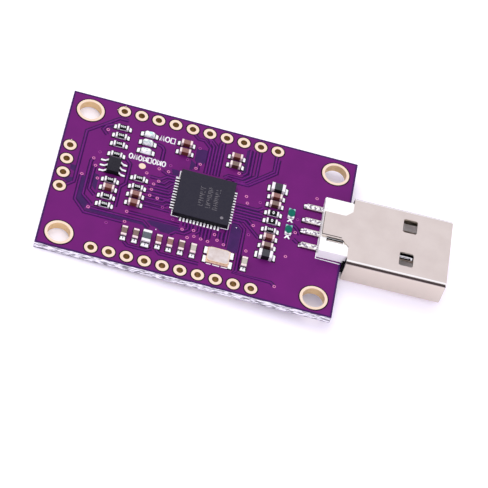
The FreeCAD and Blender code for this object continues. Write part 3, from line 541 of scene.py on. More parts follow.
class Bench:
    """Modelling steps, done with the usual operators; sizes are in millimetres."""

    SHARP = 40.0  # Edges that turn by more degrees than this are sharp.
    ROUND = 60.0  # The same for rounded pieces.

    @staticmethod
    def clear() -> None:
        """Leave nothing selected."""
        if bpy.context.object and bpy.context.object.mode != "OBJECT":
            bpy.ops.object.mode_set(mode="OBJECT")
        bpy.ops.object.select_all(action="DESELECT")

    @staticmethod
    def only(piece: bpy.types.Object) -> None:
        """Select one piece and make it the active one.

        Args:
            piece: The piece.
        """
        Bench.clear()
        piece.select_set(True)
        bpy.context.view_layer.objects.active = piece

    @staticmethod
    def settle(piece: bpy.types.Object) -> bpy.types.Object:
        """Put the piece's place, turn and size into its mesh.

        Args:
            piece: The piece.

        Returns:
            The same piece, at the origin.
        """
        Bench.only(piece)
        bpy.ops.object.transform_apply(location=True, rotation=True, scale=True)
        return piece

    @staticmethod
    def taken(name: str) -> bpy.types.Object:
        """Name the piece that is active.

        Args:
            name: Its new name.

        Returns:
            The piece.
        """
        piece = bpy.context.active_object
        piece.name = name
        piece.data.name = name
        return piece

    @staticmethod
    @contextmanager
    def editing(
        piece: bpy.types.Object, test: Callable[[bpy.types.MeshPolygon], bool] | None = None
    ) -> Iterator[None]:
        """Edit a piece with the faces that pass a test selected.

        Args:
            piece: The piece to edit.
            test: Says whether a face is selected; without it all are.

        Yields:
            Nothing; the piece is in edit mode meanwhile.
        """
        Bench.only(piece)
        bpy.context.tool_settings.mesh_select_mode = (False, False, True)
        bpy.ops.object.mode_set(mode="EDIT")
        bpy.ops.mesh.select_all(action="SELECT" if test is None else "DESELECT")
        if test is not None:
            bpy.ops.object.mode_set(mode="OBJECT")
            for face in piece.data.polygons:
                face.select = test(face)
            bpy.ops.object.mode_set(mode="EDIT")
        yield
        bpy.ops.object.mode_set(mode="OBJECT")

    @staticmethod
    def block(name: str, low: Sequence[float], high: Sequence[float]) -> bpy.types.Object:
        """Make a box between two corners.

        Args:
            name: Name of the piece.
            low: Its lowest corner.
            high: Its highest corner.

        Returns:
            The box.
        """
        first, last = Vector(low) * MM, Vector(high) * MM
        Bench.clear()
        bpy.ops.mesh.primitive_cube_add(size=1.0, location=(first + last) / 2)
        piece = Bench.taken(name)
        piece.scale = last - first
        return Bench.settle(piece)

    @staticmethod
    def face(name: str, points: Sequence[Vector]) -> bpy.types.Object:
        """Make a flat face: a filled circle whose points are moved to an outline.

        Args:
            name: Name of the piece.
            points: The outline's corners.

        Returns:
            The face.
        """
        Bench.clear()
        bpy.ops.mesh.primitive_circle_add(
            vertices=len(points), radius=MM, fill_type="NGON", location=(0, 0, 0)
        )
        piece = Bench.taken(name)
        for vertex, point in zip(piece.data.vertices, points):
            vertex.co = point * MM
        return piece

    @staticmethod
    def swept(name: str, points: Sequence[Vector], along: Sequence[float]) -> bpy.types.Object:
        """Make a closed prism: an outline extruded along a straight line.

        Args:
            name: Name of the piece.
            points: The outline's corners.
            along: The line that it is extruded along.

        Returns:
            The prism.
        """
        piece = Bench.face(name, points)
        with Bench.editing(piece):
            bpy.ops.mesh.extrude_region_move(TRANSFORM_OT_translate={"value": Vector(along) * MM})
            bpy.ops.mesh.select_all(action="SELECT")
            bpy.ops.mesh.normals_make_consistent(inside=False)
        return piece

    @staticmethod
    def plate(name: str, outline: Sequence[Point], low: float, high: float) -> bpy.types.Object:
        """A flat plate of an outline seen from above, between two heights."""
        return Bench.swept(name, [Vector((x, y, low)) for x, y in outline], (0, 0, high - low))

    @staticmethod
    def turned(name: str, profile: Sequence[Point], steps: int = 36) -> bpy.types.Object:
        """Make a closed ring: a profile spun round the Z axis.

        Args:
            name: Name of the piece.
            profile: The profile's corners, as radius and height.
            steps: How many flats the round has.

        Returns:
            The ring.
        """
        piece = Bench.face(name, [Vector((radius, 0, height)) for radius, height in profile])
        with Bench.editing(piece):
            bpy.ops.mesh.delete(type="ONLY_FACE")
            bpy.ops.mesh.select_all(action="SELECT")
            bpy.ops.mesh.spin(steps=steps, angle=2 * math.pi, center=(0, 0, 0), axis=(0, 0, 1))
            bpy.ops.mesh.select_all(action="SELECT")
            bpy.ops.mesh.remove_doubles(threshold=WELD)
            bpy.ops.mesh.normals_make_consistent(inside=False)
        return piece

    @staticmethod
    def ribbon(
        name: str, runs: Sequence[Sequence[Point]], width: float, level: float, height: float, origin: Vector
    ) -> bpy.types.Object:
        """Make flat, slightly crowned strips along lines seen from above.

        Args:
            name: Name of the piece.
            runs: The lines, each a list of points.
            width: Width of each strip.
            level: Height of the strips' middle.
            height: Height of the crown over the middle.
            origin: Place that the points are measured from, in metres.

        Returns:
            All the strips as one closed mesh each, in one piece.
        """
        curve = bpy.data.curves.new(name, "CURVE")
        curve.dimensions = "3D"
        curve.twist_mode = "Z_UP"
        curve.bevel_depth = width / 2 * MM
        curve.bevel_resolution = 0
        curve.use_fill_caps = True
        for run in runs:
            line = curve.splines.new("POLY")
            line.points.add(len(run) - 1)
            for point, (x, y) in zip(line.points, run):
                point.co = (x * MM, y * MM, 0.0, 1.0)
        piece = bpy.data.objects.new(name, curve)
        bpy.context.scene.collection.objects.link(piece)
        Bench.only(piece)
        bpy.ops.object.convert(target="MESH")
        piece = bpy.context.active_object
        piece.scale.z = height / (width / 2)
        piece.location = origin + Vector((0, 0, level * MM))
        return Bench.settle(piece)

    @staticmethod
    def shape(piece: bpy.types.Object, kind: str, **settings: object) -> bpy.types.Object:
        """Add a modifier, set it and apply it.

        Args:
            piece: The piece to shape.
            kind: The modifier's type, as Blender names it.
            settings: The modifier's settings.

        Returns:
            The same piece.
        """
        Bench.only(piece)
        modifier = piece.modifiers.new(kind.title(), kind)
        for key, value in settings.items():
            setattr(modifier, key, value)
        bpy.ops.object.modifier_apply(modifier=modifier.name)
        return piece

    @staticmethod
    def bevel(piece: bpy.types.Object, width: float, segments: int = 2) -> bpy.types.Object:
        """Round a piece's sharp edges.

        Args:
            piece: The piece to round.
            width: Width of the rounding.
            segments: How many flats the rounding has.

        Returns:
            The same piece.
        """
        limit = math.radians(Bench.SHARP)
        return Bench.shape(
            piece, "BEVEL", width=width * MM, segments=segments, limit_method="ANGLE", angle_limit=limit
        )

    @staticmethod
    def smooth(piece: bpy.types.Object, degrees: float = SHARP) -> bpy.types.Object:
        """Shade gentle edges smooth and leave sharp ones.

        Args:
            piece: The piece to shade.
            degrees: Turn from which an edge stays sharp.

        Returns:
            The same piece.
        """
        Bench.only(piece)
        bpy.ops.object.shade_smooth_by_angle(angle=math.radians(degrees))
        return piece

    @staticmethod
    def paint(piece: bpy.types.Object, finish: Finish) -> bpy.types.Object:
        """Give the whole piece one finish.

        Args:
            piece: The piece.
            finish: Its finish.

        Returns:
            The same piece.
        """
        piece.data.materials.clear()
        piece.data.materials.append(finish.make())
        return piece

    @staticmethod
    def merged(name: str, pieces: Sequence[bpy.types.Object]) -> bpy.types.Object:
        """Join pieces into one, which keeps each one's finish.

        Args:
            name: Name of the new piece.
            pieces: The pieces to join.

        Returns:
            The new piece.
        """
        Bench.only(pieces[0])
        for piece in pieces:
            piece.select_set(True)
        bpy.ops.object.join()
        return Bench.taken(name)

    @staticmethod
    def copy(piece: bpy.types.Object, name: str, place: Vector, turn: float = 0.0) -> bpy.types.Object:
        """Copy a piece, with a mesh of its own.

        Args:
            piece: The master, made round the origin.
            name: Name of the copy.
            place: Where its origin goes, in metres.
            turn: Turn about the Z axis, in degrees.

        Returns:
            The copy, whose place is in its mesh.
        """
        twin = piece.copy()
        twin.data = piece.data.copy()
        twin.name = name
        twin.data.name = name
        bpy.context.scene.collection.objects.link(twin)
        twin.data.transform(Matrix.Translation(place) @ Matrix.Rotation(math.radians(turn), 4, "Z"))
        return twin

    @staticmethod
    def drop(*masters: bpy.types.Object) -> None:
        """Throw away masters whose copies are in place."""
        for master in masters:
            bpy.data.objects.remove(master, do_unlink=True)


def keep(piece: bpy.types.Object, slot: Slot, *nodes: str) -> bpy.types.Object:
    """Fix a finished piece to the module.

    Args:
        piece: The finished piece.
        slot: The record's material slot for the piece; not used.
        nodes: Nodes of the model that it stands for.

    Returns:
        The same piece.
    """
    if nodes:
        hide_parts(*nodes)
    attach(piece, "root")
    LOG.info("piece %s: %d faces", piece.name, len(piece.data.polygons))
    return piece


def dress(node: str, finish: Finish) -> None:
    """Give a node of the model a finish, without touching its mesh.

    Args:
        node: The model's node.
        finish: Its finish.
    """
    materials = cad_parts[node].data.materials
    materials.clear()
    materials.append(finish.make())
    LOG.info("node %s: %s", node, finish.name)


@dataclass
class BoardFace:
    """The board's mask, copper, holes and ink; places start at the first near header hole.

    Attributes:
        hole_x: From the board's left edge to the first header hole.
        hole_y: From the board's near edge to the near header row.
        pitch: Spacing of the header holes.
        row_holes: Holes in each of the two rows.
        column_holes: Holes in the side column.
        row_gap: From the near header row to the far one.
        column: Place of the side column's nearest hole.
        pad: Outer diameter of a header pad.
        hole: Diameter of a header hole inside its plating.
        plating: Thickness of the plating in a hole.
        land: How far a pad stands above the board.
        thickness: Thickness of the board.
        screw_ring: Outer radius of the ring round a screw hole.
        opening: Width of the dark opening in the mask round a pad.
        track_width: Width of a track.
        gap_width: Width of a track with the gaps on both sides of it.
        ink_width: Width of a line of ink.
        sign_width: Width of a stroke of a sign.
        tracks: The tracks, each as the points along it.
        bare_areas: Outlines of the places without copper.
        vias: Places of the clear vias.
        tented_vias: Places of the faint vias.
        ink_lines: Corner marks and outlines of white ink.
        ink_specks: Places of the specks of ink.
        origin: Place of the first near header hole, on the board's top, in metres.
    """

    hole_x: float = 7.706
    hole_y: float = 1.47
    pitch: float = 2.54
    row_holes: int = 10
    column_holes: int = 4
    row_gap: float = 25.4
    column: Point = (-6.345, 9.204)
    pad: float = 1.83
    hole: float = 0.94
    plating: float = 0.045
    land: float = 0.035
    thickness: float = 1.2
    screw_ring: float = 2.0
    opening: float = 0.18
    track_width: float = 0.3
    gap_width: float = 0.64
    ink_width: float = 0.2
    sign_width: float = 0.21
    tracks: list[list[Point]] = field(default_factory=lambda: [
        [(0.9, 23.9), (-0.4, 23.9), (-4.55, 20.2), (-4.55, 10.6), (-5.5, 9.7)],
        [(-3.73, 12.1), (-3.8, 11.6), (-3.8, 7.6), (-2.15, 5.75), (3.4, 5.75)],
        [(-2.65, 15.58), (-2.9, 15.0), (-2.9, 8.75), (-1.4, 7.4)],
        [(-2.15, 14.34), (-2.25, 13.9), (-2.25, 10.0), (-1.3, 9.1)],
        [(-1.4, 6.75), (6.2, 6.75), (7.1, 5.9)],
        [(-1.6, 20.4), (-2.4, 21.2), (-1.9, 22.1), (-1.0, 22.6)],
        [(3.9, 7.72), (11.3, 7.72)],
        [(1.9, 16.9), (2.6, 16.2), (2.6, 12.6), (1.9, 11.7), (1.9, 8.0)],
        [(5.6, 21.1), (6.45, 20.8), (6.8, 20.3), (6.8, 18.3)],
        [(9.5, 15.6), (8.1, 15.6), (7.3, 14.9), (5.7, 14.9)],
        [(9.5, 15.1), (8.5, 15.1), (7.9, 14.3), (7.0, 14.3)],
        [(9.5, 16.1), (8.0, 16.1), (7.2, 16.5)],
        [(9.5, 14.6), (9.0, 14.6), (8.3, 13.7), (6.4, 13.7)],
        [(9.5, 14.0), (8.9, 13.2), (5.7, 13.2)],
        [(9.5, 13.4), (8.8, 12.7), (6.4, 12.7)],
        [(9.5, 12.6), (8.8, 12.1), (5.5, 12.1)],
        [(9.5, 12.1), (8.9, 11.6), (6.3, 11.6)],
        [(9.5, 11.4), (8.6, 11.4), (8.2, 11.0), (5.4, 11.0)],
        [(9.5, 10.8), (8.9, 10.8), (8.4, 10.3), (5.5, 10.3)],
        [(9.5, 9.6), (5.4, 9.6)],
        [(12.0, 18.2), (12.0, 19.6)],
        [(12.9, 24.6), (13.1, 24.2), (13.1, 23.6)],
        [(10.6, 24.6), (11.3, 23.9), (12.2, 23.9), (13.25, 22.8), (13.25, 18.0)],
        [(12.7, 24.5), (13.7, 23.2), (13.7, 18.0)],
        [(12.9, 24.7), (14.15, 23.4), (14.15, 18.0)],
        [(14.9, 24.5), (14.6, 24.0), (14.6, 18.0)],
        [(15.05, 24.4), (15.05, 18.0)],
        [(16.0, 18.1), (16.6, 18.7), (18.6, 18.7), (19.6, 19.7), (19.6, 24.3)],
        [(16.2, 18.0), (16.5, 18.25), (18.9, 18.25), (20.5, 19.8), (20.5, 24.3)],
        [(17.2, 18.0), (19.3, 18.0), (22.9, 21.5), (22.9, 24.4)],
        [(17.6, 17.8), (19.6, 17.8), (23.3, 21.3), (23.3, 23.9)],
        [(19.05, 24.4), (19.05, 20.0), (18.5, 19.4)],
        [(18.5, 13.9), (21.7, 13.9), (22.3, 14.4)],
        [(18.5, 13.3), (22.5, 13.3)],
        [(18.5, 12.75), (22.5, 12.75)],
        [(18.5, 12.2), (22.5, 12.2)],
        [(18.5, 11.75), (20.5, 11.75), (21.2, 11.1)],
        [(18.5, 11.25), (20.15, 11.25), (22.5, 9.0)],
        [(18.5, 10.7), (19.5, 10.7), (20.35, 9.9), (20.35, 2.4)],
        [(18.0, 9.4), (18.0, 5.9)],
        [(17.4, 8.3), (17.4, 7.0)],
        [(16.9, 8.3), (16.9, 7.2)],
        [(15.6, 8.3), (15.6, 6.6)],
        [(15.1, 8.3), (15.1, 6.2)],
        [(14.6, 8.3), (14.6, 6.6)],
        [(14.1, 8.3), (14.1, 7.4), (13.6, 6.9)],
        [(13.0, 8.3), (13.0, 7.2), (12.2, 6.4), (10.9, 6.4), (10.2, 5.7)],
        [(12.5, 8.3), (12.5, 7.4), (11.9, 6.9), (11.2, 6.9)],
        [(12.0, 8.3), (12.0, 7.7)],
        [(4.2, 2.5), (4.8, 1.9), (7.4, 1.9), (8.2, 2.4)],
        [(8.9, 2.4), (9.4, 1.9), (15.0, 1.9)],
        [(20.4, 2.4), (20.0, 1.9), (25.4, 1.9), (26.0, 1.4)],
        [(28.2, 11.4), (27.6, 12.4), (26.9, 13.0)],
        [(28.1, 9.9), (27.4, 10.4)],
    ])
    bare_areas: list[list[Point]] = field(default_factory=lambda: [
        [(18.45, 10.4), (19.2, 10.4), (20.0, 9.6), (20.0, 5.4), (18.45, 5.4)],
        [
            (7.2, 7.3), (11.2, 7.3), (11.8, 6.9), (10.9, 6.0), (10.4, 5.7),
            (8.9, 5.7), (8.3, 6.2), (7.4, 6.4), (6.6, 7.0),
        ],
        [(11.35, 22.2), (12.95, 22.2), (12.95, 19.9), (12.2, 18.9), (11.35, 19.9)],
        [(-3.6, 12.0), (-3.1, 12.0), (-3.1, 8.6), (-1.9, 7.4), (-2.2, 6.3), (-3.6, 7.8)],
        [(-2.0, 13.0), (-1.3, 12.8), (-1.3, 9.9), (-1.9, 10.6)],
        [(-5.6, 13.5), (-4.85, 13.5), (-4.85, 12.4), (-5.5, 12.6)],
        [(-6.2, 10.6), (-5.5, 11.2), (-4.85, 11.2), (-4.85, 10.5), (-5.5, 10.2)],
        [(8.5, 17.3), (9.6, 17.3), (9.6, 16.3), (9.1, 16.1), (8.6, 16.7)],
        [(18.5, 24.2), (18.95, 24.2), (18.95, 20.1), (18.5, 19.7)],
        [(-1.8, 22.5), (-1.1, 22.2), (-1.1, 21.7), (-1.6, 21.9)],
        [(-1.75, 6.5), (6.3, 6.5), (7.3, 5.7), (6.6, 5.7), (6.2, 6.1), (-1.9, 6.1), (-2.15, 6.3)],
        [(10.9, 19.8), (11.7, 19.2), (11.3, 18.0), (10.9, 18.0)],
    ])
    vias: list[Point] = field(default_factory=lambda: [
        (-1.66, 21.34), (-2.65, 15.58), (-2.15, 14.34), (-3.73, 12.27), (-1.45, 12.20), (11.8, 18.47),
        (12.28, 19.4), (6.73, 16.68), (8.11, 16.57), (5.14, 15.37), (7.06, 14.45), (6.45, 13.72),
        (6.31, 12.69), (6.27, 11.56), (7.40, 11.38), (3.66, 7.72), (-1.73, 6.78), (3.70, 5.89),
        (11.77, 7.1), (12.71, 5.9), (13.38, 7.4), (13.60, 6.40), (14.61, 6.25), (15.61, 6.13),
        (16.38, 7.64), (16.89, 6.76), (17.9, 6.27), (21.16, 6.2), (21.46, 10.97), (26.77, 7.03),
        (26.01, 1.37), (17.99, 19.60), (19.7, 15.79), (20.01, 14.65), (27.49, 11.65), (29.69, 18.70),
    ])
    tented_vias: list[Point] = field(default_factory=lambda: [
        (-2.01, 16.92), (11.77, 22.25), (8.21, 17.77), (8.43, 10.01), (10.2, 8.4), (10.37, 19.64),
        (21.05, 9.13), (21.8, 15.33), (27.5, 14.03), (1.23, 4.88), (24.8, 19.7),
    ])
    ink_lines: list[list[Point]] = field(default_factory=lambda: [
        [(9.83, 17.3), (9.83, 16.05), (9.35, 16.05)],
        [(9.83, 10.1), (9.83, 9.07), (10.9, 9.07)],
        [(16.95, 9.07), (18.03, 9.07), (18.03, 10.1)],
        [(16.0, 2.35), (16.7, 2.35)], [(16.9, 2.35), (17.95, 2.35)], [(18.15, 2.35), (19.05, 2.35)],
        [(30.95, 19.2), (30.95, 8.1), (34.5, 8.1)],
    ])
    ink_specks: tuple[Point, ...] = ((19.2, 9.8), (8.2, 5.9))
    origin: Vector = field(init=False)

    def __post_init__(self) -> None:
        """Find the first near header hole on the model's board."""
        low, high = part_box("circuit_board")
        self.origin = Vector((low.x + self.hole_x * MM, low.y + self.hole_y * MM, high.z))

    def spot(self, x: float, y: float, up: float = 0.0) -> Vector:
        """A place on the board, in metres."""
        return self.origin + Vector((x, y, up)) * MM

    def holes(self) -> list[Point]:
        """Place every header hole.

        Returns:
            The holes of both rows, then those of the side column.
        """
        x, y = self.column
        rows = [(step * self.pitch, row) for row in (0.0, self.row_gap) for step in range(self.row_holes)]
        return rows + [(x, y + step * self.pitch) for step in range(self.column_holes)]

    def screws(self) -> list[Point]:
        """Read the places of the screw holes from the outer corners of their rings.

        Returns:
            The four places.
        """
        low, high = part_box("mount_rings")
        near, far = (low - self.origin) / MM, (high - self.origin) / MM
        ring = self.screw_ring
        return [(x, y) for x in (near.x + ring, far.x - ring) for y in (near.y + ring, far.y - ring)]

    def build(self) -> None:
        """Make and dress everything that lies in or on the board."""
        dress("circuit_board", MASK)
        dress("mount_rings", GOLD)
        dress("test_pad", GOLD)
        self.make_pads()
        self.make_openings()
        self.make_copper()
        self.make_vias()
        self.make_ink()

    def make_pads(self) -> None:
        """Header pads on both faces, each with its plated wall, and the pointed tips of three of them."""
        rim, bore, wall = self.pad / 2, self.hole / 2, self.hole / 2 + self.plating
        low, high, skin = -self.thickness - self.land, self.land, 0.012
        profile = [
            (bore, high - skin), (bore + skin, high), (rim - skin, high), (rim, high - skin), (rim, 0.0),
            (wall, 0.0), (wall, -self.thickness), (rim, -self.thickness), (rim, low + skin),
            (rim - skin, low), (bore + skin, low), (bore, low + skin),
        ]
        master = Bench.paint(Bench.smooth(Bench.turned("pad_master", profile)), GOLD)
        master.data.materials.append(WALL_GOLD.make())
        for face in master.data.polygons:
            inward = face.center.xy.length < (bore + skin / 2) * MM
            face.material_index = 1 if inward and abs(face.normal.z) < FACING else 0
        copies = [Bench.copy(master, "pad", self.spot(x, y)) for x, y in self.holes()]
        Bench.drop(master)
        last = self.column[1] + (self.column_holes - 1) * self.pitch
        for x, y, turn in ((0.0, self.row_gap, 90), (0.0, self.row_gap, 180), (self.column[0], last, 90)):
            outline = [(rim - 0.12, -0.16), (rim + 0.2, 0.0), (rim - 0.12, 0.16)]
            tip = Bench.plate("tip", outline, 0.0, self.land)
            copies.append(Bench.copy(Bench.paint(tip, GOLD), "tip", self.spot(x, y), turn))
            Bench.drop(tip)
        keep(Bench.merged("header_pads", copies), Slot.GOLD)

    def make_openings(self) -> None:
        """The dark openings in the mask round the header pads and the screw rings."""
        openings = []
        low, high = -0.02, 0.008
        for radius, places in ((self.pad / 2, self.holes()), (self.screw_ring, self.screws())):
            inner, outer = radius - 0.05, radius + self.opening
            ring = Bench.turned("opening", [(inner, low), (inner, high), (outer, high), (outer, low)], 40)
            Bench.paint(ring, OPENING)
            openings += [Bench.copy(ring, "opening", self.spot(x, y)) for x, y in places]
            Bench.drop(ring)
        keep(Bench.merged("mask_openings", openings), Slot.BOARD)

    def make_copper(self) -> None:
        """Tracks under the mask, the gaps beside them and the places without copper."""
        bare = []
        for number, outline in enumerate(self.bare_areas):
            area = Bench.plate("bare_%d" % number, outline, -0.01, 0.006)
            area.data.transform(Matrix.Translation(self.origin))
            bare.append(Bench.paint(area, BARE_MASK))
        keep(Bench.merged("bare_areas", bare), Slot.BOARD)
        gaps = Bench.ribbon("track_gaps", self.tracks, self.gap_width, 0.0, 0.012, self.origin)
        keep(Bench.paint(gaps, GAP_MASK), Slot.BOARD)
        tracks = Bench.ribbon("tracks", self.tracks, self.track_width, 0.006, 0.02, self.origin)
        keep(Bench.paint(tracks, TRACK_MASK), Slot.BOARD)

    def make_vias(self) -> None:
        """Small rings that join the two faces, some of them under the mask, each with a dark disc that paints
        the shade in its hole.
        """
        profile = [(0.125, -0.05), (0.125, 0.028), (0.18, 0.04), (0.235, 0.028), (0.25, -0.01)]
        for name, places, finish in (
            ("vias", self.vias, VIA_GOLD),
            ("tented_vias", self.tented_vias, TENTED),
        ):
            ring = Bench.paint(Bench.smooth(Bench.turned("via_ring", profile, 20), Bench.ROUND), finish)
            # Painted shade: a dark disc over the ring's hole.
            hole = Bench.turned("via_hole_shade", [(0.01, -0.02), (0.01, 0.01), (0.13, 0.014), (0.13, -0.02)], 20)
            master = Bench.merged("via_master", [ring, Bench.paint(hole, VIA_HOLE_SHADE)])
            copies = [Bench.copy(master, "via", self.spot(x, y)) for x, y in places]
            Bench.drop(master)
            keep(Bench.merged(name, copies), Slot.GOLD)

    def make_ink(self) -> None:
        """White corner marks, outlines and specks, and rows of plain signs beside the lights."""
        ink = Bench.ribbon("ink_lines", self.ink_lines, self.ink_width, 0.022, 0.016, self.origin)
        keep(Bench.paint(ink, INK), Slot.BOARD)
        profile = [(0.01, -0.01), (0.01, 0.03), (0.07, 0.02), (0.09, -0.01)]
        speck = Bench.paint(Bench.turned("speck", profile, 12), INK)
        specks = [Bench.copy(speck, "speck", self.spot(x, y)) for x, y in self.ink_specks]
        Bench.drop(speck)
        keep(Bench.merged("ink_specks", specks), Slot.BOARD)
        for name, left, low, long, tall, signs in (
            ("lamp_signs", 5.85, 21.85, 2.4, 0.92, "zor"),
            ("row_signs", 2.15, 17.25, 5.5, 0.9, "ozotroto"),
        ):
            strokes = []
            step = long / len(signs)
            for number, sign in enumerate(signs):
                strokes += self.sign(sign, left + number * step, low, step - 0.2, tall)
            marks = Bench.ribbon(name, strokes, self.sign_width, 0.02, 0.014, self.origin)
            keep(Bench.paint(marks, INK), Slot.BOARD)

    @staticmethod
    def sign(kind: str, left: float, low: float, wide: float, tall: float) -> list[list[Point]]:
        """One plain circuit sign.

        Args:
            kind: o for a ring, z for a zigzag, t for a triangle, r for a box.
            left: Its left side.
            low: Its lower side.
            wide: Its width.
            tall: Its height.

        Returns:
            The sign's strokes.
        """
        right, high = left + wide, low + tall
        middle_x, middle_y = left + wide / 2, low + tall / 2
        if kind == "o":
            turns = [step * math.pi / 6 for step in range(13)]
            points = [(wide / 2 * math.cos(turn), tall / 2 * math.sin(turn)) for turn in turns]
            return [[(middle_x + x, middle_y + y) for x, y in points]]
        if kind == "z":
            quarter = wide / 4
            return [[(left + step * quarter, high if step % 2 else low) for step in range(5)]]
        if kind == "t":
            pointer = [(left, low), (left, high), (right, middle_y), (left, low)]
            return [pointer, [(right, low), (right, high)]]
        return [[(left, low), (left, high), (right, high), (right, low), (left, low)]]


@dataclass
class SmallChips:
    """The two-ended chips, their lights and fuses, and the solder at their ends.

    Attributes:
        length: Length of a small chip.
        width: Width of a small chip.
        reach: How far the solder runs out from an end.
        inset: How far a core stands back from its end caps.
        ferrite_size: Length, width and height of a larger chip.
        fuse_size: Length, width and height of a fuse.
        pale: Capacitors of pale ceramic.
        dull: Capacitors of grey-brown ceramic.
        grey: Ferrites of grey ceramic.
        zero: Resistors with a single ring on their coat.
        lit: Lights that show a coloured core.
    """

    length: float = 1.6
    width: float = 0.8
    reach: float = 0.48
    inset: float = 0.02
    ferrite_size: tuple[float, float, float] = (2.0, 1.25, 0.9)
    fuse_size: tuple[float, float, float] = (1.65, 0.95, 0.45)
    pale: tuple[str, ...] = ("capacitor_17", "capacitor_18")
    dull: tuple[str, ...] = (
        "capacitor_7", "capacitor_9", "capacitor_11", "capacitor_12", "capacitor_13", "capacitor_16",
    )
    grey: tuple[str, ...] = ("ferrite_3",)
    zero: tuple[str, ...] = ("resistor_10", "resistor_11")
    lit: tuple[str, ...] = ("led_1",)

    def build(self) -> None:
        """Stand a finished piece on the place of every small chip."""
        for family in Family:
            for node in family.nodes():
                self.stand(node, family)
        self.make_joints()

    def stand(self, node: str, family: Family) -> None:
        """Make one chip and put it where its node is.

        Args:
            node: The model's node.
            family: The family that it belongs to.
        """
        makers = {
            Family.RESISTOR: (self.resistor, Slot.RESISTOR),
            Family.CAPACITOR: (self.capacitor, Slot.CAPACITOR),
            Family.FERRITE: (self.ferrite, Slot.FERRITE),
            Family.FUSE: (self.fuse, Slot.FUSE),
            Family.LED: (self.led, Slot.LENS),
        }
        maker, slot = makers[family]
        master = maker(node)
        low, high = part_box(node)
        place = Vector(((low.x + high.x) / 2, (low.y + high.y) / 2, low.z))
        turn = 90.0 if high.y - low.y > high.x - low.x else 0.0
        piece = Bench.copy(master, node + "_finished", place, turn)
        Bench.drop(master)
        keep(piece, slot, node)

    def caps(
        self, length: float, width: float, height: float, end: float, finish: Finish = TIN
    ) -> list[bpy.types.Object]:
        """Make the two metal ends of a chip, with rounded edges.

        Args:
            length: Length of the chip.
            width: Its width.
            height: Its height.
            end: Length of one end.
            finish: Finish of the ends.

        Returns:
            The two ends.
        """
        ends = []
        for side in (-1, 1):
            low, high = sorted((side * (length / 2 - end), side * length / 2))
            cap = Bench.block("cap", (low, -width / 2, 0), (high, width / 2, height))
            Bench.bevel(cap, min(0.06, height / 5), 3)
            ends.append(Bench.paint(Bench.smooth(cap), finish))
        return ends

    def core(
        self, length: float, width: float, height: float, end: float, finish: Finish
    ) -> bpy.types.Object:
        """Make the ceramic between the ends, with softened long edges.

        Args:
            length: Length of the chip.
            width: Its width.
            height: Its height.
            end: Length of one end.
            finish: Finish of the ceramic.

        Returns:
            The core.
        """
        side = width / 2 - self.inset
        half = length / 2 - end + 0.03
        core = Bench.block("core", (-half, -side, self.inset), (half, side, height - self.inset))
        Bench.bevel(core, 0.035, 2)
        return Bench.paint(Bench.smooth(core), finish)

    def resistor(self, node: str) -> bpy.types.Object:
        """Make white ceramic with a black coat on its top, and plain rings on the coat.

        Args:
            node: The model's node.

        Returns:
            The master, round the origin.
        """
        parts = self.caps(self.length, self.width, 0.45, 0.3)
        parts.append(self.core(self.length, self.width, 0.43, 0.18, WHITE_CERAMIC))
        coat = Bench.block("coat", (-0.52, -0.395, 0.2), (0.52, 0.38, 0.455))
        parts.append(Bench.paint(Bench.smooth(Bench.bevel(coat, 0.03, 2)), BLACK_COAT))
        spots, wide = ((0.0,), 1.4) if node in self.zero else ((-0.27, 0.0, 0.27), 1.0)
        for x in spots:
            ring = Bench.turned("mark", [(0.06, 0.45), (0.06, 0.462), (0.115, 0.462), (0.115, 0.45)], 14)
            ring.scale = (wide, wide * 1.6, 1.0)
            ring.location = (x * MM, 0.02 * MM, 0)
            parts.append(Bench.paint(Bench.settle(ring), GREY_MARK))
        return Bench.merged("resistor_master", parts)

    def capacitor(self, node: str) -> bpy.types.Object:
        """Make brown, dull or pale ceramic between two wide silver ends.

        Args:
            node: The model's node.

        Returns:
            The master, round the origin.
        """
        finish = PALE_CERAMIC if node in self.pale else DULL_CERAMIC if node in self.dull else BROWN_CERAMIC
        height, end = 0.8, 0.32
        parts = self.caps(self.length, self.width, height, end, WARM_TIN)
        parts.append(self.core(self.length, self.width, height, end, finish))
        return Bench.merged("capacitor_master", parts)

    def ferrite(self, node: str) -> bpy.types.Object:
        """Make a larger dark block between silver ends.

        Args:
            node: The model's node.

        Returns:
            The master, round the origin.
        """
        finish = GREY_FERRITE if node in self.grey else BLACK_FERRITE
        end = 0.45
        parts = self.caps(*self.ferrite_size, end)
        parts.append(self.core(*self.ferrite_size, end, finish))
        return Bench.merged("ferrite_master", parts)

    def fuse(self, node: str) -> bpy.types.Object:
        """Make a pale flat base with notched ends and an oval green coat on its top.

        Args:
            node: The model's node; not used, as both look alike.

        Returns:
            The master, round the origin.
        """
        length, width, height = self.fuse_size
        end, notch = 0.3, 0.18
        parts = []
        for side in (-1, 1):
            outline = [(side * (length / 2 - end), -width / 2), (side * length / 2, -width / 2)]
            for step in range(7):
                angle = -math.pi / 2 + step * math.pi / 6
                outline.append((side * (length / 2 - notch * math.cos(angle)), notch * math.sin(angle)))
            outline += [(side * length / 2, width / 2), (side * (length / 2 - end), width / 2)]
            cap = Bench.plate("cap", outline, 0.0, height)
            parts.append(Bench.paint(Bench.smooth(Bench.bevel(cap, 0.03, 2)), FUSE_BASE if side > 0 else TIN))
        parts.append(self.core(length, width, height, end, FUSE_BASE))
        profile = [(0.02, 0.42), (0.02, 0.54), (0.34, 0.535), (0.46, 0.51), (0.52, 0.46), (0.52, 0.42)]
        oval = Bench.turned("coat", profile, 32)
        oval.scale.x = 1.34
        parts.append(Bench.paint(Bench.smooth(Bench.settle(oval), Bench.ROUND), GREEN_COAT))
        return Bench.merged("fuse_master", parts)

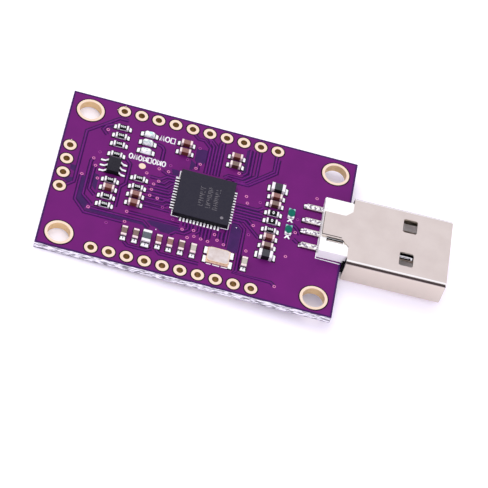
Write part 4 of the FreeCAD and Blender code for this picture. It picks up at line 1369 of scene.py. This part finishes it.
    def led(self, node: str) -> bpy.types.Object:
        """Make a white base with metal ends and a milky lens that narrows upwards.

        Args:
            node: The model's node.

        Returns:
            The master, round the origin.
        """
        top, end = 0.72, 0.2
        parts = self.caps(self.length, self.width, 0.25, end)
        parts.append(self.core(self.length, self.width, 0.27, end, WHITE_CERAMIC))
        lens = Bench.block("lens", (-0.95, -0.4, 0.16), (0.95, 0.4, top))
        with Bench.editing(lens, lambda face: face.normal.z > FACING):
            bpy.ops.transform.resize(value=(0.52, 0.72, 1.0), center_override=(0, 0, top * MM))
        parts.append(Bench.paint(Bench.smooth(Bench.bevel(lens, 0.08, 3)), MILKY))
        if node in self.lit:
            core = Bench.block("core_light", (-0.12, -0.2, top - 0.04), (0.4, 0.2, top + 0.01))
            parts.append(Bench.paint(Bench.smooth(Bench.bevel(core, 0.02, 2)), TEAL_CORE))
        return Bench.merged("led_master", parts)

    def toe(self, start: float, half: float, height: float, flare: float) -> bpy.types.Object:
        """Make a lump of solder that slopes down away from the chip.

        Args:
            start: Where it begins, out from the chip's end.
            half: Half its width at the start.
            height: Its height at the start.
            flare: Width of its outer end, as a share of the width at its start.

        Returns:
            The lump, whose inner end is at x = start.
        """
        outline = [(start, -half), (self.reach, -half * flare), (self.reach, half * flare), (start, half)]
        lump = Bench.plate("toe", outline, 0.0, height)
        with Bench.editing(lump, lambda face: face.normal.x > FACING):
            bpy.ops.transform.resize(value=(1.0, 1.0, 0.5), center_override=(self.reach * MM, 0, 0))
        Bench.bevel(lump, 0.05, 2)
        return Bench.paint(Bench.smooth(lump, Bench.ROUND), SOLDER)

    def fuse_joint(self, split: bool) -> bpy.types.Object:
        """Make what stands at one end of a fuse.

        Args:
            split: Whether it is the end nearest the board's near edge.

        Returns:
            The near end's cross of solder, or the far end's small cap.
        """
        if not split:
            cap = Bench.bevel(Bench.block("cap", (-0.05, -0.3, 0.0), (0.14, 0.3, 0.2)), 0.08, 3)
            return Bench.merged("joint_master", [Bench.paint(Bench.smooth(cap, Bench.ROUND), FUSE_BASE)])
        waist = [(-0.02, 0.42), (0.16, 0.13), (0.58, 0.44), (0.66, 0.24), (0.36, 0.0)]
        outline = waist + [(x, -y) for x, y in reversed(waist[:-1])]
        cross = Bench.bevel(Bench.plate("cross", outline, 0.0, 0.16), 0.04, 2)
        return Bench.merged("joint_master", [Bench.paint(Bench.smooth(cross, Bench.ROUND), SOLDER)])

    def joint(self, family: Family, split: bool) -> bpy.types.Object:
        """Make the solder at one end of a chip, with painted shade in the hollow by the chip and the dark gap
        in the mask round it, widened to paint the shadow round the solder.

        Args:
            family: The family of the chip.
            split: Whether it is the end nearest the board's near edge.

        Returns:
            The joint's master, whose inner end is at x = 0.
        """
        if family is Family.FUSE:
            return self.fuse_joint(split)
        width, climb = {
            Family.FERRITE: (1.1, 0.5), Family.LED: (0.8, 0.5),
            Family.RESISTOR: (0.74, 0.3), Family.CAPACITOR: (0.76, 0.45),
        }[family]
        half, reach = width / 2, self.reach
        if split:
            # Painted shade: a dark band and slit between the chip's end and the toe.
            band = Bench.block("band", (-0.03, -half, 0.3), (0.025, half, 0.6))
            cut = [Vector((x, -0.04, z)) for x, z in ((0.0, 0.1), (0.34, 0.1), (0.34, 0.3), (0.0, 0.425))]
            slit = Bench.paint(Bench.swept("slit", cut, (0, 0.1, 0)), MENISCUS)
            parts = [Bench.paint(band, MENISCUS), self.toe(0.02, half * 0.8, 0.4, 1.32), slit]
        else:
            # Painted shade: the hollow of solder against the chip's end.
            slope = ((-0.02, 0.0), (0.3, 0.0), (0.3, 0.07), (0.12, 0.12), (-0.02, climb))
            hollow = Bench.swept("meniscus", [Vector((x, -half, z)) for x, z in slope], (0, width, 0))
            hollow = Bench.paint(Bench.smooth(hollow, Bench.ROUND), MENISCUS)
            parts = [hollow, self.toe(0.12, half * 0.95, 0.2, 0.95)]
        if family is Family.LED:
            parts.append(self.toe(-0.03, half * 0.95, 0.26, 0.9))
        # Dark mask opening round the solder: partly the real gap in the mask, widened so its rim paints the
        # shadow round the solder.
        edge, end = half + 0.14, reach + 0.1
        gap = Bench.plate("gap", [(-0.2, -edge), (end, -edge), (end, edge), (-0.2, edge)], -0.01, 0.03)
        parts.append(Bench.paint(gap, OPENING))
        return Bench.merged("joint_master", parts)

    def make_joints(self) -> None:
        """Both joints of every small chip."""
        copies = []
        for family in Family:
            whole, parted = self.joint(family, False), self.joint(family, True)
            for node in family.nodes():
                low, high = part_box(node)
                middle = (low + high) / 2
                across = high.y - low.y > high.x - low.x
                half = max(high.y - low.y, high.x - low.x) / 2
                for turn in ((90, 270) if across else (0, 180)):
                    step = Matrix.Rotation(math.radians(turn), 4, "Z") @ Vector((half, 0, 0))
                    place = Vector((middle.x, middle.y, low.z)) + step
                    master = parted if turn == 270 else whole
                    copies.append(Bench.copy(master, "joint", place, turn))
            Bench.drop(whole, parted)
        keep(Bench.merged("solder_joints", copies), Slot.SOLDER, "chip_solder")


@dataclass
class Chips:
    """The controller, the six-lead chip and the crystal.

    Attributes:
        board: The board that they stand on.
        dot: Place of the controller's round mark.
        dash_rows: Places of the rows of dashes on the controller.
        dash_span: Start and end of a row.
        terminals: Terminals on each side of the controller.
        terminal_pitch: Their spacing.
        terminal_sides: Turn of each side, with its terminals' reach and half width.
        heat_pad: Half width of the heat pad.
        lead_pitch: Spacing of the leads of the six-lead chip.
        lead_width: Width of a lead.
        lead_sides: Turn of each side of it, with the reach of the solder.
        crystal_lands: Left, right, near and far side of each land of the crystal.
    """

    board: BoardFace
    dot: Point = (16.8, 10.15)
    dash_rows: tuple[float, ...] = (13.45, 14.55, 15.6)
    dash_span: Point = (11.2, 14.9)
    terminals: int = 12
    terminal_pitch: float = 0.5
    terminal_sides: tuple[tuple[int, float, float], ...] = (
        (0, 0.42, 0.12), (90, 0.5, 0.12), (180, 0.6, 0.1), (270, 0.64, 0.14),
    )
    heat_pad: float = 2.7
    lead_pitch: float = 0.95
    lead_width: float = 0.27
    lead_sides: tuple[tuple[int, float], ...] = ((0, 0.2), (180, 0.3))
    crystal_lands: tuple[tuple[float, float, float, float], ...] = (
        (15.4, 15.9, 4.0, 5.15), (15.4, 15.9, 2.45, 3.6), (19.1, 19.62, 4.0, 5.15), (19.1, 19.62, 2.35, 3.5),
    )

    def build(self) -> None:
        """Dress the packages and add their marks, rims and lands."""
        dress("controller", MOULDING)
        dress("crystal_base", CAN_BASE)
        dress("crystal_lid", CAN_LID)
        self.make_terminals()
        self.make_marks()
        self.make_crystal_rim()
        self.make_crystal_lands()
        self.make_six_lead_body()
        self.make_leads()

    def make_six_lead_body(self) -> None:
        """The flat moulded body of the six-lead chip, with sides that lean inwards."""
        low, high = (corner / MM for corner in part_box("six_lead_chip"))
        near, far = (low.x - 0.14, low.y + 0.2, low.z), (high.x + 0.14, high.y - 0.04, high.z - 0.25)
        body = Bench.block("six_lead_body", near, far)
        with Bench.editing(body, lambda face: face.normal.z > FACING):
            bpy.ops.transform.resize(value=(0.92, 0.95, 1.0))
        body = Bench.smooth(Bench.bevel(body, 0.05, 2))
        keep(Bench.paint(body, SMALL_MOULDING), Slot.MOULDING, "six_lead_chip")

    def make_marks(self) -> None:
        """A round mark and three faint rows of plain dashes on the controller."""
        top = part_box("controller")[1].z
        origin = Vector((self.board.origin.x, self.board.origin.y, top))
        dot = Bench.turned("controller_dot", [(0.02, -0.01), (0.02, 0.008), (0.22, 0.012), (0.26, -0.01)], 24)
        dot.data.transform(Matrix.Translation(origin + Vector((*self.dot, 0)) * MM))
        keep(Bench.paint(Bench.smooth(dot, Bench.ROUND), DOT), Slot.MOULDING)
        strokes = []
        draw = random.Random(5)
        reach = 0.36
        places = (-reach, 0.0, 0.3)
        for x in self.dash_rows:
            y = self.dash_span[0] + draw.uniform(0.0, 0.3)
            while y < self.dash_span[1]:
                run = draw.uniform(0.16, 0.36)
                strokes.append([(x - reach, y), (x + draw.uniform(-0.05, reach), y)])
                start, end = draw.choice(places), draw.choice(places)
                strokes.append([(x + start, y), (x + end, y + run * 0.8)])
                y += run + 0.12
        marks = Bench.ribbon("controller_marks", strokes, 0.085, 0.0, 0.006, origin)
        keep(Bench.paint(marks, MARK), Slot.MOULDING)

    def make_terminals(self) -> None:
        """Flat solder joints on each side of the controller, and its heat pad."""
        low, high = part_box("controller")
        middle = (low + high) / 2
        half = (high.x - low.x) / 2 / MM
        base = Vector((middle.x, middle.y, self.board.origin.z))
        copies = []
        for turn, reach, wide in self.terminal_sides:
            land = Bench.block("terminal", (half - 0.4, -wide, 0.0), (half + reach, wide, 0.09))
            master = Bench.paint(Bench.smooth(Bench.bevel(land, 0.03, 2), Bench.ROUND), SOLDER)
            shade = Bench.block("shade", (half - 0.1, -3.0, -0.01), (half + reach * 0.8, 3.0, 0.03))
            copies.append(Bench.copy(Bench.paint(shade, OPENING), "terminal_gap", base, turn))
            Bench.drop(shade)
            for step in range(self.terminals):
                y = (step - (self.terminals - 1) / 2) * self.terminal_pitch * MM
                along = Matrix.Rotation(math.radians(turn), 4, "Z") @ Vector((0, y, 0))
                copies.append(Bench.copy(master, "terminal", base + along, turn))
            Bench.drop(master)
        pad = self.heat_pad
        heat = Bench.block("heat_pad", (-pad, -pad, 0.0), (pad, pad, 0.05))
        heat.data.transform(Matrix.Translation(base))
        copies.append(Bench.paint(heat, SOLDER))
        keep(Bench.merged("controller_terminals", copies), Slot.SOLDER, "controller_lands")

    def make_leads(self) -> None:
        """Three thin bent leads on each side of the six-lead chip, each with its solder."""
        body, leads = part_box("six_lead_chip"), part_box("six_lead_chip_leads")
        middle = (body[0] + body[1]) / 2
        side = (body[1].x - body[0].x) / 2 / MM
        foot = (leads[1].x - leads[0].x) / 2 / MM
        base = Vector((middle.x, middle.y, self.board.origin.z))
        parts = []
        for turn, reach in self.lead_sides:
            for step in (-1, 0, 1):
                y = step * self.lead_pitch - 0.13
                bend = [
                    (side - 0.1, 0.62), (side + 0.04, 0.62), (foot - 0.22, 0.15), (foot + 0.08, 0.15),
                    (foot + 0.08, 0.03), (foot - 0.3, 0.03), (side - 0.02, 0.48), (side - 0.1, 0.48),
                ]
                lead = Bench.swept("lead", [Vector((x, y, z)) for x, z in bend], (0, self.lead_width, 0))
                toe = foot + reach
                solder = Bench.block("lump", (foot - 0.25, y - 0.02, 0.0), (toe + 0.12, y + 0.26, 0.12))
                gap = Bench.block("gap", (side - 0.1, y - 0.14, -0.01), (toe + 0.2, y + 0.36, 0.028))
                for part in (lead, solder):
                    Bench.smooth(Bench.bevel(part, 0.03, 2), Bench.ROUND)
                for part, finish in ((lead, SOLDER), (solder, SOLDER), (gap, OPENING)):
                    parts.append(Bench.copy(Bench.paint(part, finish), "lead", base, turn))
                    Bench.drop(part)
        keep(Bench.merged("six_leads", parts), Slot.SOLDER, "six_lead_chip_leads")

    def make_crystal_rim(self) -> None:
        """The bright welded rim of the crystal's lid."""
        low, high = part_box("crystal_lid")
        middle = (low + high) / 2
        half = (high - low) / 2 / MM
        bend, inset = 0.4, 0.42
        rim = []
        for x, y, start in ((1, 1, 0), (-1, 1, 90), (-1, -1, 180), (1, -1, 270)):
            corner_x, corner_y = x * (half.x - inset), y * (half.y - inset)
            for step in range(4):
                angle = math.radians(start + step * 30)
                rim.append((corner_x + bend * math.cos(angle), corner_y + bend * math.sin(angle)))
        rim.append(rim[0])
        bead = Bench.ribbon("crystal_rim", [rim], 0.14, 0.0, 0.03, Vector((middle.x, middle.y, high.z)))
        keep(Bench.paint(Bench.smooth(bead, Bench.ROUND), CAN_RIM), Slot.CAN)

    def make_crystal_lands(self) -> None:
        """The four lands beside the crystal's tray, each in its dark opening."""
        lands = []
        for x0, x1, y0, y1 in self.crystal_lands:
            land = Bench.bevel(Bench.block("land", (x0, y0, 0), (x1, y1, 0.12)), 0.05, 2)
            gap = Bench.block("gap", (x0 - 0.16, y0 - 0.14, -0.01), (x1 + 0.16, y1 + 0.14, 0.026))
            for part, finish in ((land, SOLDER), (gap, OPENING)):
                part.data.transform(Matrix.Translation(self.board.origin))
                lands.append(Bench.paint(Bench.smooth(part), finish))
        keep(Bench.merged("crystal_lands", lands), Slot.SOLDER)


@dataclass
class Plug:
    """The plug's shell, plastic, contacts and the solder on their tails.

    Attributes:
        board: The board that the plug is soldered to; not used.
        skew: Turn of the plug, in degrees.
        shift: From the board's middle line to the plug's.
        tails: Places of the four tails across the plug.
        land_reach: How far the tails' lands run back from the board's edge.
        block_reach: How far the plastic blocks run back from it.
        seed: Start of the noise on the tails' solder, so that each run gives the same lumps.
        block_top: Height of the plastic blocks over the board.
        inner_top: Height of the sheet's inner face over the board.
        tongue_end: Where the tongue ends, out from the board's edge.
        tongue_half: Half its width.
        slot: Start and end of the dark plate that paints the shade in the slot beside the tongue.
        corner: Inner and outer side of the dark plates that paint the shade in the hollows at the shell's
            rear corners.
        window_bars: Start, end and sides of the strips of sheet in the near window.
    """

    board: BoardFace
    skew: float = 1.3
    shift: float = 0.61
    tails: tuple[float, ...] = (-3.5, -1.0, 1.0, 3.5)
    land_reach: float = 6.5
    block_reach: float = 3.75
    seed: int = 5
    block_top: float = 1.655
    inner_top: float = 1.5
    tongue_end: float = -3.49
    tongue_half: float = 2.2
    slot: Point = (-2.8, -0.5)
    corner: Point = (4.86, 5.6)
    window_bars: tuple[tuple[float, float, float, float], ...] = (
        (7.85, 9.7, -2.2, -2.06), (9.45, 9.7, -2.5, -2.2), (7.85, 9.2, -2.38, -2.33),
    )

    def frame(self) -> Matrix:
        """Find the plug's own frame: at the board's end, on its top, turned by the skew.

        Returns:
            The frame, in metres.
        """
        low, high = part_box("circuit_board")
        turn = Matrix.Rotation(math.radians(self.skew), 4, "Z")
        return Matrix.Translation((high.x, self.shift * MM, high.z)) @ turn

    def build(self) -> None:
        """Dress the plug and make the rough solder on its tails."""
        dress("usb_body", WHITE_PLASTIC)
        self.make_shell()
        self.make_recesses()
        self.make_strip()
        for number in range(1, 5):
            dress("usb_contact_%d" % number, CONTACT)
        self.make_tail_solder()

    def make_shell(self) -> None:
        """The folded sheet with its folds shaded smooth."""
        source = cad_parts["usb_shell"]
        shell = Bench.copy(source, "usb_shell_finished", Vector((0, 0, 0)))
        shell.parent = None
        for key in list(shell.keys()):
            del shell[key]
        with Bench.editing(shell):
            bpy.ops.mesh.remove_doubles(threshold=WELD)
        Bench.shape(Bench.smooth(shell, 35), "WEIGHTED_NORMAL", mode="FACE_AREA", weight=100, keep_sharp=True)
        keep(Bench.paint(shell, STEEL), Slot.STEEL, "usb_shell")

    def make_recesses(self) -> None:
        """Dark plates that paint the shade by the tongue, in a window and at the rear corners, painted shade
        lines along the tongue's edges, and what lies beside them.
        """
        top, half = self.inner_top, self.tongue_half
        # Painted shade: a dark plate in the slot beside the tongue.
        slot = Bench.block("slot", (self.slot[0], -2.9, top - 0.5), (self.slot[1], -half, top - 0.12))
        parts = [Bench.paint(slot, SHADE)]
        for side in (-1, 1):
            near, far = sorted((side * self.corner[0], side * self.corner[1]))
            # Painted shade: dark plates in the shell's rear corners and in the gap before the board's end.
            mouth = Bench.block("mouth", (0.34, near, -1.8), (0.395, far, 1.4))
            hollow = Bench.block("hollow", (0.02, near, -1.2), (0.33, far, 0.5))
            parts += [Bench.paint(mouth, SHADE), Bench.paint(hollow, SHADE)]
        # Painted shade: a dark plate inside the near window.
        deep = Bench.block("deep", (7.65, -2.55, top - 0.36), (9.9, -1.3, top - 0.32))
        parts.append(Bench.paint(deep, SHADE))
        for start, end, low, high in self.window_bars:
            bar = Bench.block("bar", (start, low, top - 0.31), (end, high, top - 0.2))
            parts.append(Bench.paint(Bench.bevel(bar, 0.02, 1), WHITE_CERAMIC))
        outline = [(-3.3, 2.22), (-0.62, 2.22), (0.3, 3.14), (0.3, 3.84), (-0.62, 2.92), (-3.3, 2.92)]
        filler = Bench.plate("filler", outline, 1.3, self.block_top - 0.007)
        parts.append(Bench.paint(filler, WHITE_PLASTIC))
        edge, lip_top = self.tongue_end, top + 0.297
        lip = Bench.block("lip", (edge - 0.19, -half, self.block_top), (edge, half, lip_top))
        parts.append(Bench.paint(lip, STEEL))
        # Painted shade: thin dark lines along the tongue's near and left edges.
        for low, high in (((-3.58, -1.97), (-0.75, -1.85)), ((-3.64, -1.97), (-3.57, 2.05))):
            line = Bench.block("line", (*low, lip_top), (*high, lip_top + 0.007))
            parts.append(Bench.paint(line, SHADE))
        dark = Bench.merged("dark_recesses", parts)
        dark.data.transform(self.frame())
        keep(dark, Slot.PLASTIC)

    def make_strip(self) -> None:
        """The thin strip of sheet in the slot beside the tongue."""
        near = (self.slot[0] + 0.1, -2.68, self.inner_top - 0.3)
        far = (self.slot[1], -2.48, self.inner_top - 0.04)
        strip = Bench.smooth(Bench.bevel(Bench.block("tongue_strips", near, far), 0.03, 2))
        strip.data.transform(self.frame())
        keep(Bench.paint(strip, STEEL), Slot.STEEL)

    def make_tail_solder(self) -> None:
        """Four long rough lumps of solder, one over each tail, each in its dark opening."""
        noise.seed_set(self.seed)
        back, front = -self.land_reach, -self.block_reach
        lumps = []
        for number, y in enumerate(self.tails):
            gap = Bench.block("gap", (back - 0.1, y - 0.5, -0.01), (front, y + 0.5, 0.03))
            gap.data.transform(self.frame())
            lumps.append(Bench.paint(gap, OPENING))
            lump = Bench.block("lump", (back, y - 0.3, 0.0), (front, y + 0.3, 0.34))
            with Bench.editing(lump):
                bpy.ops.mesh.subdivide(number_cuts=5)
            Bench.bevel(lump, 0.1, 2)
            self.roughen(lump, number, y)
            lump.data.transform(self.frame())
            lumps.append(Bench.paint(Bench.smooth(lump, 80), TAIL_SOLDER))
        keep(Bench.merged("tail_solder", lumps), Slot.SOLDER, "contact_solder")

    def roughen(self, lump: bpy.types.Object, number: int, y: float) -> None:
        """Push a lump's points about, and let it slope down to its free end.

        Args:
            lump: The lump.
            number: Its number, which gives it a pattern of its own.
            y: Its middle across the plug.
        """
        for vertex in lump.data.vertices:
            push = noise.noise_vector(vertex.co / MM * 1.7 + Vector((number * 9.0, 0, 0)))
            tall = max(0.0, vertex.co.z / MM / 0.36)
            slope = min(1.0, (vertex.co.x / MM + self.land_reach) / 0.5)
            if vertex.co.x / MM < -self.block_reach - 0.2:
                vertex.co.x += push.x * 0.1 * MM
            vertex.co.y = (y + (vertex.co.y / MM - y) * (0.88 + 0.12 * slope) + push.y * 0.22) * MM
            vertex.co.z += (push.z * 0.12 * tall - (1 - slope) * 0.2 * tall) * MM


@dataclass
class Studio:
    """A pale table that the module rests on, soft light and the camera.

    Attributes:
        eye: The camera's place, in millimetres.
        forward: The camera's line of sight.
        up: The camera's upward direction.
        lens: Focal length for a sensor of 36 mm.
        table: Half size of the table, in metres.
        shell_gap: From the board's end to the shell's rear edge, in millimetres.
        air: Gap between the module and the table, in millimetres.
        glow: Strength of the table's own light, where a camera or a mirror sees it.
        room_tint: Colour of the light from all round.
        dark: Strength of that light in the dark band.
    """

    eye: tuple[float, float, float] = (-24.5224, -233.7197, 289.7881)
    forward: tuple[float, float, float] = (0.06589976, 0.6211523, -0.78091423)
    up: tuple[float, float, float] = (-0.25036472, 0.76787295, 0.58965128)
    lens: float = 193.475
    table: float = 1.2
    shell_gap: float = 0.4
    air: float = 0.02
    glow: float = 0.16
    room_tint: tuple[float, float, float, float] = (0.95, 0.94, 1.0, 1.0)
    dark: float = 0.12

    def build(self) -> None:
        """Set up everything that isn't part of the module."""
        self.make_table()
        self.make_world()
        self.make_lamps()
        self.make_camera()
        bpy.context.scene.view_settings.view_transform = "Standard"

    def make_table(self) -> None:
        """A table top that touches the board's left end and the plug's shell."""
        low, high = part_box("circuit_board")
        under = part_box("usb_shell")[0].z
        slope = math.atan2(low.z - under, high.x + self.shell_gap * MM - low.x)
        place = (low.x, 0, low.z - self.air * MM)
        Bench.clear()
        bpy.ops.mesh.primitive_plane_add(size=2 * self.table, location=place, rotation=(0, slope, 0))
        table = Bench.settle(Bench.taken("table"))
        recipe = Recipe("white_table")
        pale = recipe.blend(recipe.grain(60.0), (249, 244, 255), (246, 241, 253))
        recipe.set(Roughness=0.9, Specular_IOR_Level=0.0, Base_Color=pale)
        seen = recipe.add("ShaderNodeLightPath")
        mirrored = recipe.math("MAXIMUM", seen.outputs["Is Glossy Ray"], seen.outputs["Is Transmission Ray"])
        through = recipe.math("MAXIMUM", seen.outputs["Is Camera Ray"], mirrored)
        glow = recipe.math("MULTIPLY", through, self.glow)
        recipe.set(Emission_Color=linear((255, 255, 255)), Emission_Strength=glow)
        table.data.materials.append(recipe.material)

    def make_world(self) -> None:
        """Even light from all round, with a dark band low in front that the folds mirror."""
        world = bpy.data.worlds.new("soft_room")
        bpy.context.scene.world = world
        world.use_nodes = True
        tree = world.node_tree
        back = tree.nodes["Background"]
        coordinate = tree.nodes.new("ShaderNodeTexCoord")
        parts = tree.nodes.new("ShaderNodeSeparateXYZ")
        tree.links.new(coordinate.outputs["Generated"], parts.inputs[0])

        def span(axis: str, low: float, high: float, first: float, last: float) -> bpy.types.NodeSocket:
            """Map one part of the direction to a share of the light.

            Args:
                axis: X, Y or Z.
                low: Start of the span.
                high: End of the span.
                first: Share of the light at the start.
                last: Share of the light at the end.

            Returns:
                The share of the light.
            """
            node = tree.nodes.new("ShaderNodeMapRange")
            tree.links.new(parts.outputs[axis], node.inputs["Value"])
            for key, number in (("From Min", low), ("From Max", high), ("To Min", first), ("To Max", last)):
                node.inputs[key].default_value = number
            return node.outputs["Result"]

        def both(
            kind: str, first: bpy.types.NodeSocket, second: bpy.types.NodeSocket
        ) -> bpy.types.NodeSocket:
            """Join two shares of the light.

            Args:
                kind: How they are joined, as Blender names it.
                first: The first share.
                second: The second share.

            Returns:
                The joined share.
            """
            node = tree.nodes.new("ShaderNodeMath")
            node.operation = kind
            tree.links.new(first, node.inputs[0])
            tree.links.new(second, node.inputs[1])
            return node.outputs[0]

        above = span("Z", 0.36, 0.46, self.dark, 1.0)
        below = span("Z", 0.06, 0.0, self.dark, 1.0)
        aside = span("Y", -0.7, -0.5, self.dark, 1.0)
        band = both("MAXIMUM", above, both("MAXIMUM", below, aside))
        strength = both("MULTIPLY", band, span("Z", -0.1, 0.9, 0.72, 1.06))
        tree.links.new(strength, back.inputs["Strength"])
        back.inputs["Color"].default_value = self.room_tint

    def make_lamps(self) -> None:
        """A broad lamp from behind on the left, and a weak one from the front."""
        for name, place, size, power, tint in (
            ("key", (-0.35, 0.55, 0.75), 0.7, 3.6, (1.0, 0.985, 0.9)),
            ("fill", (0.1, -0.75, 0.3), 0.6, 3.4, (0.93, 0.89, 1.0)),
        ):
            lamp = bpy.data.lights.new(name, "AREA")
            lamp.size = size
            lamp.energy = power
            lamp.color = tint
            holder = bpy.data.objects.new(name, lamp)
            bpy.context.scene.collection.objects.link(holder)
            holder.location = place
            holder.visible_glossy = False
            holder.rotation_euler = (-Vector(place)).to_track_quat("-Z", "Y").to_euler()

    def make_camera(self) -> None:
        """The camera at the photograph's place and angle."""
        camera = bpy.data.cameras.new("camera")
        camera.lens = self.lens
        camera.sensor_width = 36.0
        camera.clip_start = 0.01
        holder = bpy.data.objects.new("camera", camera)
        bpy.context.scene.collection.objects.link(holder)
        forward, up = Vector(self.forward).normalized(), Vector(self.up).normalized()
        right = forward.cross(up)
        turn = Matrix((right, up, -forward)).transposed().to_4x4()
        holder.matrix_world = Matrix.Translation(Vector(self.eye) * MM) @ turn
        bpy.context.scene.camera = holder


def main() -> None:
    """Build the module's looks from the board up, then the studio round it."""
    logging.basicConfig(level=logging.INFO, format="%(name)s: %(message)s")
    board = BoardFace()
    board.build()
    SmallChips().build()
    Chips(board).build()
    Plug(board).build()
    Studio().build()


if __name__ == "__main__":
    main()
